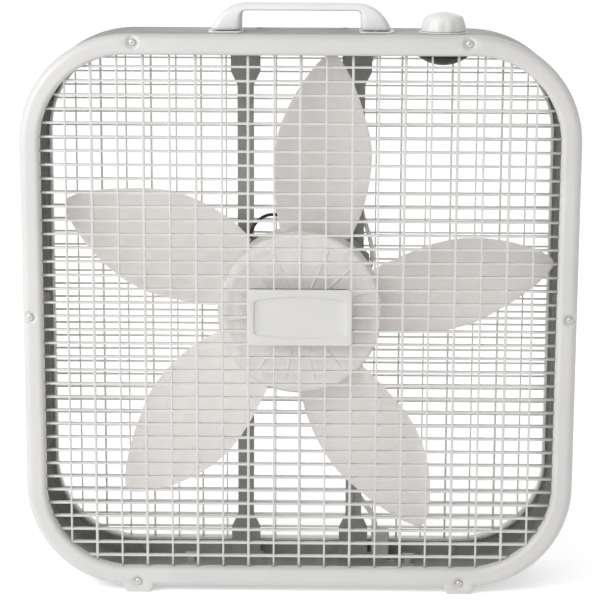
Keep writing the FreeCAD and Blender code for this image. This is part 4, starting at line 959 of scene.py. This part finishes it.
def knob_radius(height):
    """Radius of the knob's round form at a height above its base."""
    points = ((0.0, 21.9), (1.0, 21.95), (6.0, 21.1), (10.0, 19.8), (12.8, 18.5), (14.2, 17.3), (15.0, 15.6),
              (16.2, 12.0), (17.4, 7.0), (18.0, 3.0), (19.0, 1.2))
    for (h0, r0), (h1, r1) in zip(points, points[1:]):
        if height <= h1:
            return r0 + (r1 - r0) * (height - h0) / (h1 - h0)
    return points[-1][1]


def make_knob():
    """Domed knob with twelve soft flats that fade out towards the top."""
    base, top = KNOB_LOW.z, KNOB_HIGH.z
    tall = top - base
    heights = [0.0, 0.4, 1.0, 3.5, 6.0, 8.0, 10.0, 11.5, 12.8, 13.6, 14.2, 14.6, 15.0, 15.6, 16.2, 16.8, 17.4,
               17.8, 18.0, tall]
    rings = []
    for height in heights:
        radius = knob_radius(height) - (0.4 if height == 0.0 else 0.0)
        flat = 0.75 * max(0.0, min(1.0, (15.0 - height) / 10.0))
        ring_points = []
        for j in range(120):
            angle = 2 * math.pi * j / 120
            swing = abs(math.sin(6 * angle))
            ring_points.append(about_knob(radius - flat * (1 - swing ** 1.4), angle, base + height))
        rings.append(ring_points)
    bore = ((19.4, 0.0), (19.0, 9.0), (6.2, 9.0), (6.2, 0.2), (3.05, 0.2), (3.05, 12.0))
    inner = [[about_knob(radius, 2 * math.pi * j / 120, base + height) for j in range(120)]
             for radius, height in bore]
    vertices, faces = loft(inner[::-1] + rings, caps=True)
    # The knob takes the brighter copy of the white plastic: painted light for the extra light that falls on
    # the knob.
    return piece("knob_cap", vertices, faces, "white_plastic", "knob", ("knob",), 30.0, "white_plastic_painted_light")


# ---------------------------------------------------------------- CAD nodes that stay

NODE_SLOTS = {
    "grey_paint": ("housing_band", "left_strut", "right_strut"),
    "zinc_steel": ("motor_mount_plate", "cord_clamp_base"),
    "white_plastic": ("foot_left", "foot_right", "cord_clamp"),
    # Handle pads and switch escutcheon take the brighter copy of the white plastic: painted light, not a
    # different plastic.
    "white_plastic_painted_light": ("handle_pads", "switch_escutcheon"),
    "black_plastic": ("switch_cup", "switch_body", "capacitor"),
    "cast_aluminium": ("motor_front_bell", "motor_rear_bell", "rotor_end_rings"),
    "lamination_steel": ("stator_core", "rotor_core"),
    "copper_wire": ("stator_coils",),
    "bronze": ("front_bearing", "rear_bearing", "switch_terminals"),
    "felt": ("oil_wicks",),
    "bright_steel": ("front_grille_screws", "rear_grille_screws", "speed_clips", "handle_screws",
                     "strut_screws", "mount_plate_screws", "motor_through_bolts", "motor_through_nuts",
                     "motor_lug_screws", "motor_lug_nuts", "capacitor_strap", "bearing_retainers",
                     "cord_clamp_screw", "motor_shaft", "switch_spindle", "knob_spring", "hub_clamp_ring",
                     "thermal_fuse"),
    "black_rubber": ("mount_spacers",),
    "nylon": ("thrust_spacers", "lead_ties"),
    "black_lead": ("capacitor_lead",),
    "white_lead": ("motor_lead", "supply_lead"),
}
SOFT_EDGES = {
    "foot_left": 0.9, "foot_right": 0.9, "handle_pads": 0.5, "cord_clamp": 0.7, "cord_clamp_base": 0.4,
    "left_strut": 0.25, "right_strut": 0.25, "motor_mount_plate": 0.3, "capacitor": 0.6, "switch_body": 0.5,
    "switch_escutcheon": 0.3, "switch_cup": 0.5,
}


def soften(obj, width):
    """Round a CAD node's corners a little with modifiers, leaving its own mesh alone."""
    weld = obj.modifiers.new("weld", "WELD")
    weld.merge_threshold = 0.00001
    bevel = obj.modifiers.new("soft_edges", "BEVEL")
    bevel.width = width * MM
    bevel.segments = 2
    bevel.limit_method = "ANGLE"
    bevel.angle_limit = math.radians(50)
    bevel.harden_normals = True


def dress_nodes():
    for slot, names in NODE_SLOTS.items():
        for name in names:
            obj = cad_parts[name]
            obj.data.materials.clear()
            obj.data.materials.append(MATERIALS[slot])
            if name in SOFT_EDGES:
                soften(obj, SOFT_EDGES[name])


# ---------------------------------------------------------------- build

make_camera()
make_world()
make_lights()
make_floor()
MATERIALS = make_materials()
dress_nodes()
make_bezel("front_bezel", bezel_section(0.0, FLANGE, 8.0, 5.0, -BAR_BACK), "white_plastic", "front_grille")
rear_section = bezel_section(REAR_INSET, FLANGE, 4.0, 4.0, -REAR_LIP)
make_bezel("rear_bezel", rear_section, "ivory_plastic", "rear_grille", True)
make_bars("front_bars", FRONT_BARS, "white_plastic", "front_grille", False)
make_bars("rear_bars", REAR_BARS, "ivory_plastic", "rear_grille", True)
make_foot_tabs()
make_badge()
make_hub()
make_hub_ribs()
make_blades()
make_handle()
make_knob()
